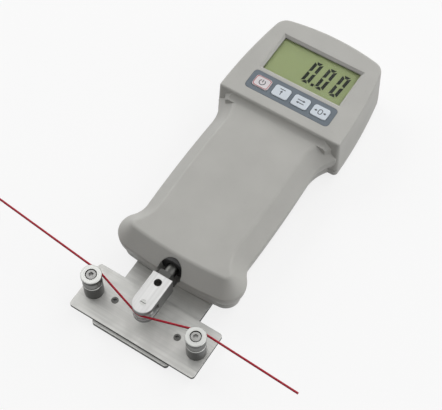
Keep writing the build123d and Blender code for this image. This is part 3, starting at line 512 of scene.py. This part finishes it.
@dataclass(frozen=True)
class CrystalFinish(Finish):
    """The liquid crystal panel: olive green reflector under glass, with painted shade towards its
    rim where the frame shades it.
    """

    rim_shade_colour: Colour
    centre: Point
    half_size: Flat
    # width of the painted shade along the panel's rim
    rim: float = 0.0016
    mottle: float = 0.03
    grain_scale: float = 5200.0
    mottle_scale: float = 30.0
    pebble: float = 0.000002
    rounding: float = 0.0002

    def paint(self, surface: Surface, graph: Graph) -> None:
        """Joins up the shader."""
        grain = surface.effect(
            Effect.GRAIN, Grain_Scale=self.grain_scale, Mottle_Scale=self.mottle_scale
        )
        size = graph.vector("ABSOLUTE", graph.vector("SUBTRACT", surface.place, self.centre))
        parts = graph.add("SeparateXYZ", {0: size})
        inside = graph.math(
            "MINIMUM",
            graph.math("SUBTRACT", self.half_size[0], parts.outputs["X"]),
            graph.math("SUBTRACT", self.half_size[1], parts.outputs["Y"]),
        )
        tone = graph.tones(grain["Mottle"], self.colour, self.mottle)
        # painted shade: the colour darkens towards the panel's rim
        share = graph.ramp(inside, (0.0, self.rim), 1.0, 0.0)
        tone = graph.mix(share, tone, rgba(self.rim_shade_colour))
        surface.set(Base_Color=tone, Roughness=0.32, Coat_Weight=0.3, Coat_Roughness=0.08)
        surface.relief(grain["Height"], self.pebble, self.rounding)


@dataclass(frozen=True)
class ClearFinish(Finish):
    """Clear plastic that lets lamp light through to what lies behind it."""

    roughness: float = 0.03
    smudge: float = 0.04
    patch_scale: float = 60.0

    def paint(self, surface: Surface, graph: Graph) -> None:
        """Joins up the shader."""
        patches = surface.effect(Effect.HANDLING, Patch_Scale=self.patch_scale)["Patch"]
        rough = graph.ramp(patches, UNIT, self.roughness, self.roughness + self.smudge)
        surface.set(
            Base_Color=rgba(self.colour), Roughness=rough, IOR=1.49, Transmission_Weight=1.0
        )


@dataclass(frozen=True)
class ThreadFinish(Finish):
    """Twisted thread: slanting bands of light and shade with a short fuzz of noise."""

    pitch: float = 0.0011
    bands_per_unit: float = 0.31
    slant: float = math.radians(52)
    waviness: float = 0.4
    shade: float = 0.55
    light: float = 1.25
    fuzz_scale: float = 5000.0
    fuzz: float = 0.4
    depth: float = 0.00012
    rounding: float = 0.0001

    def paint(self, surface: Surface, graph: Graph) -> None:
        """Joins up the shader."""
        slant = graph.add("Mapping", {"Vector": surface.place, "Rotation": (0.0, 0.0, self.slant)})
        scale = self.bands_per_unit / self.pitch
        twist = graph.add(
            "TexWave",
            {"Vector": slant.outputs[0], "Scale": scale, "Distortion": self.waviness},
            bands_direction="X",
        ).outputs["Fac"]
        grain = surface.effect(Effect.GRAIN, Grain_Scale=self.fuzz_scale)
        tone = graph.mix(twist, rgba(self.colour, self.shade), rgba(self.colour, self.light))
        height = graph.math("ADD", twist, graph.math("MULTIPLY", grain["Height"], self.fuzz))
        surface.set(Base_Color=tone, Roughness=0.75, Sheen_Weight=0.4, Sheen_Roughness=0.4)
        surface.relief(height, self.depth, self.rounding)


# --- Meshes from formulas ---

RING_PLACES = 96
ARC_PLACES = 60


def grid_faces(rows: int, columns: int, round_rows: bool, round_columns: bool) -> np.ndarray:
    """Corner numbers of the four-sided faces of a grid, closed on itself where asked.

    Args:
        rows: number of points along the first parameter.
        columns: number of points along the second parameter.
        round_rows: whether the last row joins the first.
        round_columns: whether the last column joins the first.

    Returns:
        An array of faces by 4 corners.
    """
    spans = np.arange(rows - (not round_rows)), np.arange(columns - (not round_columns))
    row, column = (index.ravel() for index in np.meshgrid(*spans, indexing="ij"))
    next_row, next_column = (row + 1) % rows, (column + 1) % columns
    corners = ((row, column), (row, next_column), (next_row, next_column), (next_row, column))
    return np.stack([down * columns + across for down, across in corners], axis=1)


@dataclass
class MeshParts:
    """Grids of points gathered into one mesh."""

    points: list[np.ndarray] = field(default_factory=list)
    faces: list[np.ndarray] = field(default_factory=list)

    def add(self, grid: np.ndarray, round_rows: bool = False, round_columns: bool = False) -> None:
        """Adds a grid of rows by columns by 3 coordinates."""
        start = sum(len(part) for part in self.points)
        rows, columns = grid.shape[:2]
        self.points.append(grid.reshape(-1, 3))
        self.faces.append(start + grid_faces(rows, columns, round_rows, round_columns))

    def build(self, name: str, material: Material, smooth: bool) -> bpy.types.Object:
        """Makes the gathered grids one object.

        Args:
            name: the object's name.
            material: its only material.
            smooth: whether its faces are shaded smooth.
        """
        mesh = bpy.data.meshes.new(name)
        points, faces = (np.concatenate(part).tolist() for part in (self.points, self.faces))
        mesh.from_pydata(points, [], faces)
        mesh.polygons.foreach_set("use_smooth", [smooth] * len(mesh.polygons))
        mesh.materials.append(material)
        mesh.update()
        piece = bpy.data.objects.new(name, mesh)
        bpy.context.scene.collection.objects.link(piece)
        LOG.info("made %s with %d faces", name, len(mesh.polygons))
        return piece


def rectangle(x: Flat, y: Flat) -> tuple[Flat, ...]:
    """The four corners of a rectangle between two places along X and two along Y."""
    return ((x[0], y[0]), (x[1], y[0]), (x[1], y[1]), (x[0], y[1]))


def patch(corners: tuple[Flat, ...], height: float) -> np.ndarray:
    """A flat four-cornered patch that faces up, blended straight between its corners.

    The faces of a grid point along its columns crossed with its rows, so a patch whose corners
    run clockwise has its two parameters swapped.

    Args:
        corners: the four corners in order round the patch.
        height: its height.

    Returns:
        A grid of 2 by 2 points.
    """
    flat = np.array(((corners[0], corners[1]), (corners[3], corners[2])))
    row = flat[1, 0] - flat[0, 0]
    column = flat[0, 1] - flat[0, 0]
    if column[0] * row[1] - column[1] * row[0] < 0:
        flat = flat.transpose(1, 0, 2)
    return np.concatenate([flat, np.full((2, 2, 1), height)], axis=2)


def band(centre: Point, half_x: float, half_y: float, width: float, power: float) -> np.ndarray:
    """A flat ring along a superellipse.

    The outline is x = a |cos t|^(2/n) and y = b |sin t|^(2/n), with the signs of cos and sin,
    once at the full half sizes and once drawn in by the width.

    Args:
        centre: the ring's middle.
        half_x: outer half size along X.
        half_y: outer half size along Y.
        width: the ring's width.
        power: the superellipse's power n, 2 for an ellipse and more for squarer corners.

    Returns:
        A grid of RING_PLACES round the ring by 2 across it.
    """
    turn = np.linspace(0.0, 2 * np.pi, RING_PLACES, endpoint=False)[:, None]
    inset = np.array([[0.0, width]])
    across = np.sign(np.cos(turn)) * np.abs(np.cos(turn)) ** (2 / power) * (half_x - inset)
    along = np.sign(np.sin(turn)) * np.abs(np.sin(turn)) ** (2 / power) * (half_y - inset)
    return np.stack(
        [centre[0] + across, centre[1] + along, np.full_like(across, centre[2])], axis=2
    )


def arc(centre: Point, radius: float, width: float, opening: float) -> np.ndarray:
    """A flat circular stroke that leaves an opening at its top.

    The points are the centre plus r (sin t, cos t), with t from the opening to a full turn less
    the opening, at the inner and at the outer radius.

    Args:
        centre: the middle of the circle.
        radius: the stroke's middle radius.
        width: the stroke's width.
        opening: half of the opening, in degrees.

    Returns:
        A grid of ARC_PLACES round the stroke by 2 across it.
    """
    start = math.radians(opening)
    turn = np.linspace(start, 2 * np.pi - start, ARC_PLACES)[:, None]
    reach = np.array([[radius + width / 2, radius - width / 2]])
    flat = np.stack([centre[0] + reach * np.sin(turn), centre[1] + reach * np.cos(turn)], axis=2)
    return np.concatenate([flat, np.full((*flat.shape[:2], 1), centre[2])], axis=2)


def thicken(piece: bpy.types.Object, thickness: float) -> None:
    """Gives a flat piece a thickness above its own plane."""
    shell = piece.modifiers.new("thickness", "SOLIDIFY")
    shell.thickness = thickness
    shell.offset = 1.0


# --- The studio ---


@dataclass(frozen=True)
class Lamp:
    """A soft square lamp that faces the object."""

    name: str
    place: Point
    power: float
    size: float = 2.0

    def hang(self) -> None:
        """Adds the lamp to the scene."""
        data = bpy.data.lights.new(self.name, "AREA")
        data.shape = "SQUARE"
        data.size = self.size
        data.energy = self.power
        lamp = bpy.data.objects.new(self.name, data)
        lamp.location = self.place
        lamp.rotation_euler = Vector(self.place).to_track_quat("Z", "Y").to_euler()
        bpy.context.scene.collection.objects.link(lamp)


@dataclass
class Studio:
    """Camera, floor and soft light."""

    azimuth: float = 32.69
    elevation: float = 59.49
    distance: float = 0.72985
    target: Point = (-0.0078, -0.01029, 0.0)
    focal_pixels: float = 1152.54
    image_width: float = 442.0
    image_height: float = 410.0
    middle_column: float = 218.44
    middle_row: float = 204.61
    sensor: float = 36.0
    floor_size: float = 6.0
    floor_colour: Colour = (0.99, 0.99, 0.99)
    floor_bounce: Colour = (0.32, 0.32, 0.32)
    floor_glow: float = 0.8
    floor_level: float = -0.02 * MM
    sky: float = 0.2
    card_place: Point = (-0.44, 1.05, 1.4)
    card_size: float = 0.5
    card_colour: Colour = (0.03, 0.03, 0.03)
    lamps: tuple[Lamp, ...] = (
        Lamp("left_lamp", (-1.7, 0.5, 1.1), 22.0),
        Lamp("right_lamp", (1.7, 0.4, 1.0), 15.0),
        Lamp("back_lamp", (0.2, 2.0, 1.5), 27.0),
    )

    def place_camera(self) -> None:
        """Puts the camera on a sphere about the target and fits its lens and shift."""
        turn = math.radians(self.azimuth)
        rise = math.radians(self.elevation)
        away = Vector(
            (math.cos(rise) * math.sin(turn), -math.cos(rise) * math.cos(turn), math.sin(rise))
        )
        data = bpy.data.cameras.new("camera")
        data.sensor_width = self.sensor
        data.lens = self.focal_pixels / self.image_width * self.sensor
        data.shift_x = (self.image_width / 2 - self.middle_column) / self.image_width
        data.shift_y = (self.middle_row - self.image_height / 2) / self.image_width
        camera = bpy.data.objects.new("camera", data)
        camera.location = Vector(self.target) + away * self.distance
        camera.rotation_euler = away.to_track_quat("Z", "Y").to_euler()
        bpy.context.scene.collection.objects.link(camera)
        bpy.context.scene.camera = camera

    def lay_floor(self) -> None:
        """Lays a plain pale floor that looks white and bounces less light than it shows."""
        half = self.floor_size / 2
        parts = MeshParts()
        parts.add(patch(rectangle((-half, half), (-half, half)), self.floor_level))
        surface = Surface("floor_paper")
        graph = surface.graph
        seen = graph.seen()
        tone = graph.mix(seen, rgba(self.floor_bounce), rgba(self.floor_colour))
        surface.set(Base_Color=tone, Roughness=0.9, Specular_IOR_Level=0.1)
        glow = graph.add("Emission", {"Color": WHITE, "Strength": 1.0})
        share = graph.math("MULTIPLY", seen, self.floor_glow)
        plain = surface.shader.outputs[0]
        shown = graph.add("MixShader", {0: share, 1: plain, 2: glow.outputs[0]})
        graph.feed(surface.output.inputs["Surface"], shown.outputs[0])
        parts.build("floor", surface.material, False)

    def light(self) -> None:
        """Lights the object with an even sky and three large lamps, left, right and behind."""
        world = bpy.data.worlds.new("sky")
        bpy.context.scene.world = world
        world.use_nodes = True
        graph = Graph(world.node_tree)
        world.node_tree.nodes.clear()
        even, white = (
            graph.add("Background", {"Color": WHITE, "Strength": strength}).outputs[0]
            for strength in (self.sky, 1.0)
        )
        mixed = graph.add("MixShader", {0: graph.seen(), 1: even, 2: white})
        graph.add("OutputWorld", {"Surface": mixed.outputs[0]})
        for lamp in self.lamps:
            lamp.hang()

    def hang_card(self) -> None:
        """Hangs a dark card where the flat window mirrors it, which keeps the display clear."""
        half = self.card_size / 2
        turn = np.array(Vector(self.card_place).to_track_quat("Z", "Y").to_matrix())
        flat = patch(rectangle((-half, half), (-half, half)), 0.0)
        parts = MeshParts()
        parts.add(flat @ turn.T + np.array(self.card_place))
        surface = Surface("card_paper")
        surface.set(Base_Color=rgba(self.card_colour), Roughness=0.9)
        card = parts.build("dark_card", surface.material, False)
        card.visible_camera = False

    def build(self) -> None:
        """Makes the whole studio, the camera first."""
        self.place_camera()
        self.lay_floor()
        self.hang_card()
        self.light()
        bpy.context.scene.view_settings.view_transform = "Standard"


# --- The gauge ---


def dress(frame: dict, finish: Finish, *nodes: str) -> None:
    """Gives CAD nodes, by name, the material of a finish in every slot."""
    material = finish.build()
    for name in nodes:
        slots = frame["nodes"][name].data.materials
        slots.clear()
        slots.append(material)
        LOG.info("dressed %s in %s", name, material.name)


class Section:
    """Pieces that belong together, as finishes by the names of the nodes that wear them."""

    coats: dict[str, Finish] = {}

    def build(self, frame: dict) -> None:
        """Dresses the CAD nodes of this section."""
        for nodes, finish in self.coats.items():
            dress(frame, finish, *nodes.split())


class Casing(Section):
    """The moulded shells, the battery door and the seal round the spindle."""

    coats = {
        "front_shell": PlasticFinish("casing_plastic", linear(190, 189, 184)),
        "rear_shell battery_door": PlasticFinish("rear_plastic", linear(194, 193, 189)),
        "spindle_seal": PlasticFinish(
            "seal_rubber", linear(26, 26, 26), roughness=0.7, mottle=0.1, grain_depth=0.00003
        ),
    }


@dataclass
class Display(Section):
    """The window, the liquid crystal panel and the figures that it shows."""

    figure_width: float = 6.1 * MM
    figure_height: float = 18.8 * MM
    stroke: float = 2.15 * MM
    gap: float = 0.13 * MM
    corner: float = 0.8 * MM
    slant: float = 0.075
    figure_x: tuple[float, ...] = (-3.4 * MM, 6.75 * MM, 16.9 * MM)
    figure_below: float = 9.3 * MM
    dot_x: float = 4.0 * MM
    ink_thickness: float = 0.04 * MM
    ink_lift: float = 0.01 * MM
    ink: PrintFinish = PrintFinish("segment_ink", linear(14, 18, 12), roughness=0.35)
    coats = {
        "display_window": ClearFinish("window_clear", (0.97, 0.985, 0.975)),
        "lcd_frame": PlasticFinish("frame_black", linear(30, 31, 33), mottle=0.1),
    }

    def slanted(self, corners: tuple[Flat, ...], x: float) -> tuple[Flat, ...]:
        """Corners of a stroke leaned over by the slant and moved to their figure."""
        low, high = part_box("lcd_panel")
        foot = (low.y + high.y) / 2 - self.figure_below
        return tuple((x + across + up * self.slant, foot + up) for across, up in corners)

    def zero_strokes(self) -> list[tuple[Flat, ...]]:
        """The six strokes of a nought, each four corners in the figure's own frame."""
        wide, high, thick, gap, cut = (
            self.figure_width, self.figure_height, self.stroke, self.gap, self.corner
        )
        half = high / 2
        foot = (
            (cut + gap, 0.0), (wide - cut - gap, 0.0),
            (wide - thick - gap, thick), (thick + gap, thick),
        )
        left = (
            (0.0, cut), (thick, thick + gap), (thick, half - thick / 2 - gap), (0.0, half - gap)
        )
        strokes = [foot, left]
        strokes.append(tuple((wide - across, up) for across, up in left))
        strokes += [tuple((across, high - up) for across, up in stroke) for stroke in strokes]
        return strokes

    def draw_figures(self) -> None:
        """Prints three noughts and a point on the panel."""
        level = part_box("lcd_panel")[1].z + self.ink_lift
        parts = MeshParts()
        for x in self.figure_x:
            for stroke in self.zero_strokes():
                parts.add(patch(self.slanted(stroke, x), level))
        dot = rectangle((0.0, self.stroke), (0.0, self.stroke))
        parts.add(patch(self.slanted(dot, self.dot_x), level))
        figures = parts.build("display_figures", self.ink.build(), False)
        thicken(figures, self.ink_thickness)
        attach(figures, "gauge")

    def build(self, frame: dict) -> None:
        """Dresses the window, the panel and its frame, and prints the figures."""
        low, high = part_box("lcd_panel")
        middle = (low + high) / 2
        # the second colour is the painted shade at the panel's rim
        crystal = CrystalFinish(
            "lcd_glass", linear(172, 183, 132), linear(134, 144, 102),
            (middle.x, middle.y, 0.0), (high.x - middle.x, high.y - middle.y),
        )
        dress(frame, crystal, "lcd_panel")
        super().build(frame)
        self.draw_figures()


class KeySign(Enum):
    """What is printed on each key."""

    POWER = "key_power"
    PEAK = "key_peak"
    UNIT = "key_unit"
    ZERO = "key_zero"


@dataclass
class Keypad(Section):
    """The printed foil, the four keys and their signs."""

    ink: PrintFinish = PrintFinish("key_ink", linear(62, 68, 78))
    red_ink: PrintFinish = PrintFinish("key_red_ink", linear(176, 62, 70))
    coats = {
        "keypad_panel": PrintFinish("keypad_foil", linear(106, 116, 125)),
        "key_peak key_unit key_zero": PrintFinish(
            "key_white", linear(222, 230, 238), roughness=0.36, coat=0.25
        ),
        "key_power": PrintFinish("key_power_white", linear(232, 226, 228), roughness=0.36),
    }
    flange: float = 0.8 * MM
    line: float = 0.55 * MM
    print_height: float = 0.03 * MM
    print_lift: float = 0.002 * MM
    rim_inset: float = 0.35 * MM
    rim_width: float = 0.45 * MM
    rim_power: float = 6.0
    power_radius: float = 2.0 * MM
    power_opening: float = 36.0
    head_length: float = 2.6
    head_width: float = 0.62
    head_overlap: float = 0.8
    tip_width: float = 0.2
    peak_tip: float = 1.3 * MM
    peak_length: float = 3.6 * MM
    bar_place: float = 1.9 * MM
    bar_half: float = 1.9 * MM
    swap_tip: Flat = (2.7 * MM, 1.1 * MM)
    swap_length: float = 5.4 * MM
    nought_half: Flat = (1.5 * MM, 2.1 * MM)
    nought_power: float = 2.6
    nought_tip: Flat = (-2.1 * MM, 0.0)
    nought_length: float = 2.0 * MM

    def top(self, sign: KeySign) -> tuple[Vector, float, float]:
        """Middle of a key's flat top and its half sizes, less the flange under the foil."""
        low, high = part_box(sign.value)
        middle = (low + high) / 2
        return (
            Vector((middle.x, middle.y, high.z + self.print_lift)),
            (high.x - low.x) / 2 - self.flange,
            (high.y - low.y) / 2 - self.flange,
        )

    def stamp(
        self, name: str, sign: KeySign, ink: Material,
        rings: tuple[np.ndarray, ...] = (), patches: tuple[np.ndarray, ...] = (),
    ) -> None:
        """Makes rings and patches one print that rides on its key.

        Args:
            name: the print's name.
            sign: the key.
            ink: its material.
            rings: grids whose last row joins the first.
            patches: open grids.
        """
        parts = MeshParts()
        for ring in rings:
            parts.add(ring, round_rows=True)
        for grid in patches:
            parts.add(grid)
        piece = parts.build(name, ink, False)
        thicken(piece, self.print_height)
        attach(piece, sign.value)

    def arrow(self, tip: Point, length: float, up: bool, flip: float) -> list[np.ndarray]:
        """Patches of an arrow.

        Args:
            tip: where it points to.
            length: its whole length.
            up: whether it points along Y rather than along X.
            flip: 1 to point towards plus, -1 towards minus.

        Returns:
            The grids of its shaft and of its head.
        """
        half = self.line / 2
        head = self.head_length * self.line
        root = -head * self.head_overlap
        shaft = ((-length, -half), (root, -half), (root, half), (-length, half))
        wide, thin = head * self.head_width, half * self.tip_width
        point = ((-head, -wide), (0.0, -thin), (0.0, thin), (-head, wide))
        grids = []
        for shape in (shaft, point):
            turned = [(x * flip, y * flip) for x, y in shape]
            if up:
                turned = [(-y, x) for x, y in turned]
            grids.append(patch(tuple((tip[0] + x, tip[1] + y) for x, y in turned), tip[2]))
        return grids

    def draw_signs(self) -> None:
        """Prints a power sign in a red rim, a peak arrow, a pair of arrows and a nought."""
        ink = self.ink.build()
        middle, half_x, half_y = self.top(KeySign.POWER)
        rim = band(
            middle, half_x - self.rim_inset, half_y - self.rim_inset,
            self.rim_width, self.rim_power,
        )
        self.stamp("power_rim", KeySign.POWER, self.red_ink.build(), rings=(rim,))
        ring = arc(middle, self.power_radius, self.line, self.power_opening)
        half = self.line / 2
        stroke = rectangle(
            (middle.x - half, middle.x + half), (middle.y, middle.y + self.power_radius + half)
        )
        self.stamp("sign_power", KeySign.POWER, ink, patches=(ring, patch(stroke, middle.z)))

        x, y, z = self.top(KeySign.PEAK)[0]
        arrow = self.arrow((x, y + self.peak_tip, z), self.peak_length, True, 1.0)
        foot = y + self.bar_place
        bar = rectangle((x - self.bar_half, x + self.bar_half), (foot, foot + self.line))
        self.stamp("sign_peak", KeySign.PEAK, ink, patches=(*arrow, patch(bar, z)))

        nought = band(self.top(KeySign.ZERO)[0], *self.nought_half, self.line, self.nought_power)
        for name, sign, offset, length, rings in (
            ("sign_swap", KeySign.UNIT, self.swap_tip, self.swap_length, ()),
            ("sign_nought", KeySign.ZERO, self.nought_tip, self.nought_length, (nought,)),
        ):
            x, y, z = self.top(sign)[0]
            arrows = []
            for side in (1.0, -1.0):
                tip = (x + side * offset[0], y + side * offset[1], z)
                arrows += self.arrow(tip, length, False, side)
            self.stamp(name, sign, ink, rings, tuple(arrows))

    def build(self, frame: dict) -> None:
        """Dresses the foil and the keys and prints the signs."""
        super().build(frame)
        self.draw_signs()


class TensionHead(Section):
    """The clevis block, the spindle, the rollers, their posts, the two plates and the screws."""

    coats = {
        "guide_roller_left guide_roller_right roller_spacers guide_bushes": MetalFinish(
            "roller_steel", linear(196, 197, 194), Cut.ROUND, roughness=0.27, line_scale=4200.0,
            axis=(36.7 * MM, -103.55 * MM, 0.0), twin=True, painted_wall_shade=0.14,
        ),
        "centre_roller roller_axle": MetalFinish(
            "centre_roller_steel", linear(178, 179, 176), Cut.ROUND, roughness=0.3,
            line_scale=4200.0, axis=(0.0, -102.9 * MM, 0.0), painted_wall_shade=0.16,
        ),
        "clevis_block": MetalFinish(
            "clevis_aluminium", linear(190, 190, 189), Cut.ALONG_Y, roughness=0.42, streak=0.1,
            tarnish=0.25, painted_wall_shade=0.35,
        ),
        "cross_plate base_plate": MetalFinish(
            "plate_aluminium", linear(190, 190, 187), Cut.ALONG_X, roughness=0.5, streak=0.12,
            depth=0.00001, tarnish=0.45, painted_wall_shade=0.12,
        ),
        # steel darkened to paint the shade in the gap between the clevis block and the casing's
        # port
        "measuring_spindle spindle_nut": MetalFinish(
            "spindle_steel", linear(84, 84, 82), Cut.ALONG_X, roughness=0.3, painted_wall_shade=0.3
        ),
        # steel darkened to paint the shade in the screws' sockets
        "plate_screws": MetalFinish(
            "plate_screw_steel_shaded", linear(96, 96, 94), Cut.ALONG_X, roughness=0.3, stretch=2.0,
            painted_wall_shade=0.1,
        ),
        "guide_screws mount_screws casing_screws board_screws bracket_screws load_cell_bolt "
        "battery_door_screw": MetalFinish(
            "screw_steel", linear(160, 160, 158), Cut.ALONG_X, roughness=0.3, stretch=2.0,
            tarnish=0.3,
        ),
    }


class Internals(Section):
    """The board, the load cell, the cells and the other pieces inside the casing."""

    coats = {
        "main_board": PrintFinish("board_green", linear(28, 84, 48), roughness=0.35, coat=0.4),
        "batteries": PrintFinish("battery_jacket", linear(52, 56, 62), roughness=0.3, coat=0.4),
        "battery_contacts dome_switches": MetalFinish(
            "contact_metal", linear(196, 194, 186), Cut.ALONG_X, roughness=0.3, stretch=4.0
        ),
        "load_cell load_cell_bracket": MetalFinish(
            "cell_aluminium", linear(205, 206, 208), Cut.ALONG_Y
        ),
        "threaded_inserts": MetalFinish(
            "insert_brass", linear(206, 174, 104), Cut.ALONG_Z, roughness=0.32, stretch=6.0
        ),
    }


@dataclass
class TestThread(Section):
    """The thread under test, tight over the three rollers, with a knot at its far end."""

    diameter: float = 1.4 * MM
    length: float = 230.3 * MM
    height: float = 21.5 * MM
    knot_radius: float = 1.15 * MM
    knot_pitch: float = 1.25 * MM
    knot_turns: float = 2.4
    knot_taper: float = 0.3
    knot_places: int = 90
    knot_corners: int = 14
    knot_closing: float = 12.0
    knot_lean: float = 0.3
    finish: ThreadFinish = ThreadFinish("thread_red", linear(188, 30, 52))
    route: tuple[Flat, ...] = (
        (0.10255, -0.09985),
        (0.04289, -0.09772),
        (0.03589, -0.09747),
        (0.02920, -0.09954),
        (0.00573, -0.10683),
        (0.0, -0.10861),
        (-0.00573, -0.10683),
        (-0.02883, -0.09966),
        (-0.03551, -0.09758),
        (-0.04248, -0.09693),
        (-0.12412, -0.08930),
    )

    def draw_run(self, material: Material) -> bpy.types.Object:
        """The thread as one smooth curve through the list of points."""
        data = bpy.data.curves.new("red_thread", "CURVE")
        data.dimensions = "3D"
        data.bevel_depth = self.diameter / 2
        data.bevel_resolution = 4
        data.resolution_u = 12
        data.use_fill_caps = True
        spline = data.splines.new("NURBS")
        spline.points.add(len(self.route) - 1)
        for point, (x, y) in zip(spline.points, self.route):
            point.co = (x, y, self.height, 1.0)
        spline.order_u = 3
        spline.use_endpoint_u = True
        data.materials.append(material)
        thread = bpy.data.objects.new("red_thread", data)
        bpy.context.scene.collection.objects.link(thread)
        return thread

    def tie_knot(self, material: Material) -> bpy.types.Object:
        """The knot: a few tight turns of the same thread round its own end.

        The middle line of the turns is a helix about the thread's direction, drawn in to that
        direction at both ends by a factor sin(pi s) to the power knot_taper, s running from 0 to
        1. Each point of it carries a circle of the thread's radius, which closes at both ends.

        Args:
            material: the thread's material.

        Returns:
            The knot's object.
        """
        end = np.array((*self.route[-1], self.height))
        before = np.array((*self.route[-2], self.height))
        along = (end - before) / np.linalg.norm(end - before)
        side = np.array((0.0, 0.0, 1.0))
        across = np.cross(along, side)
        share = np.linspace(0.0, 1.0, self.knot_places)[:, None]
        turn = share * 2 * np.pi * self.knot_turns
        swell = np.sin(np.pi * share)
        radius = self.knot_radius * swell**self.knot_taper
        middle = (
            end + along * (self.diameter / 2 + share * self.knot_pitch * self.knot_turns)
            + radius * (np.cos(turn) * side + np.sin(turn) * across)
        )
        heading = np.gradient(middle, axis=0)
        heading /= np.linalg.norm(heading, axis=1, keepdims=True)
        first = np.cross(heading, along + self.knot_lean * side)
        first /= np.linalg.norm(first, axis=1, keepdims=True)
        second = np.cross(heading, first)
        angle = np.linspace(0.0, 2 * np.pi, self.knot_corners, endpoint=False)[None, :, None]
        size = self.diameter / 2 * np.clip(swell * self.knot_closing, 0.0, 1.0)[:, :, None]
        ring = size * (np.cos(angle) * first[:, None] + np.sin(angle) * second[:, None])
        parts = MeshParts()
        parts.add(middle[:, None] + ring, round_columns=True)
        return parts.build("thread_knot_turns", material, True)

    def build(self, frame: dict) -> None:
        material = self.finish.build()
        thread = self.draw_run(material)
        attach(thread, "gauge")
        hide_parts("test_thread")
        knot = self.tie_knot(material)
        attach(knot, "gauge")
        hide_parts("thread_knot")
        LOG.info("thread drawn through %d points", len(self.route))


def main() -> None:
    """Builds the studio and the gauge."""
    logging.basicConfig(level=logging.INFO, format="%(name)s: %(message)s")
    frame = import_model()
    Studio().build()
    sections = (TestThread(), Casing(), Display(), Keypad(), TensionHead(), Internals())
    for section in sections:
        section.build(frame)
        LOG.info("%s is done", type(section).__name__)


if __name__ == "__main__":
    main()
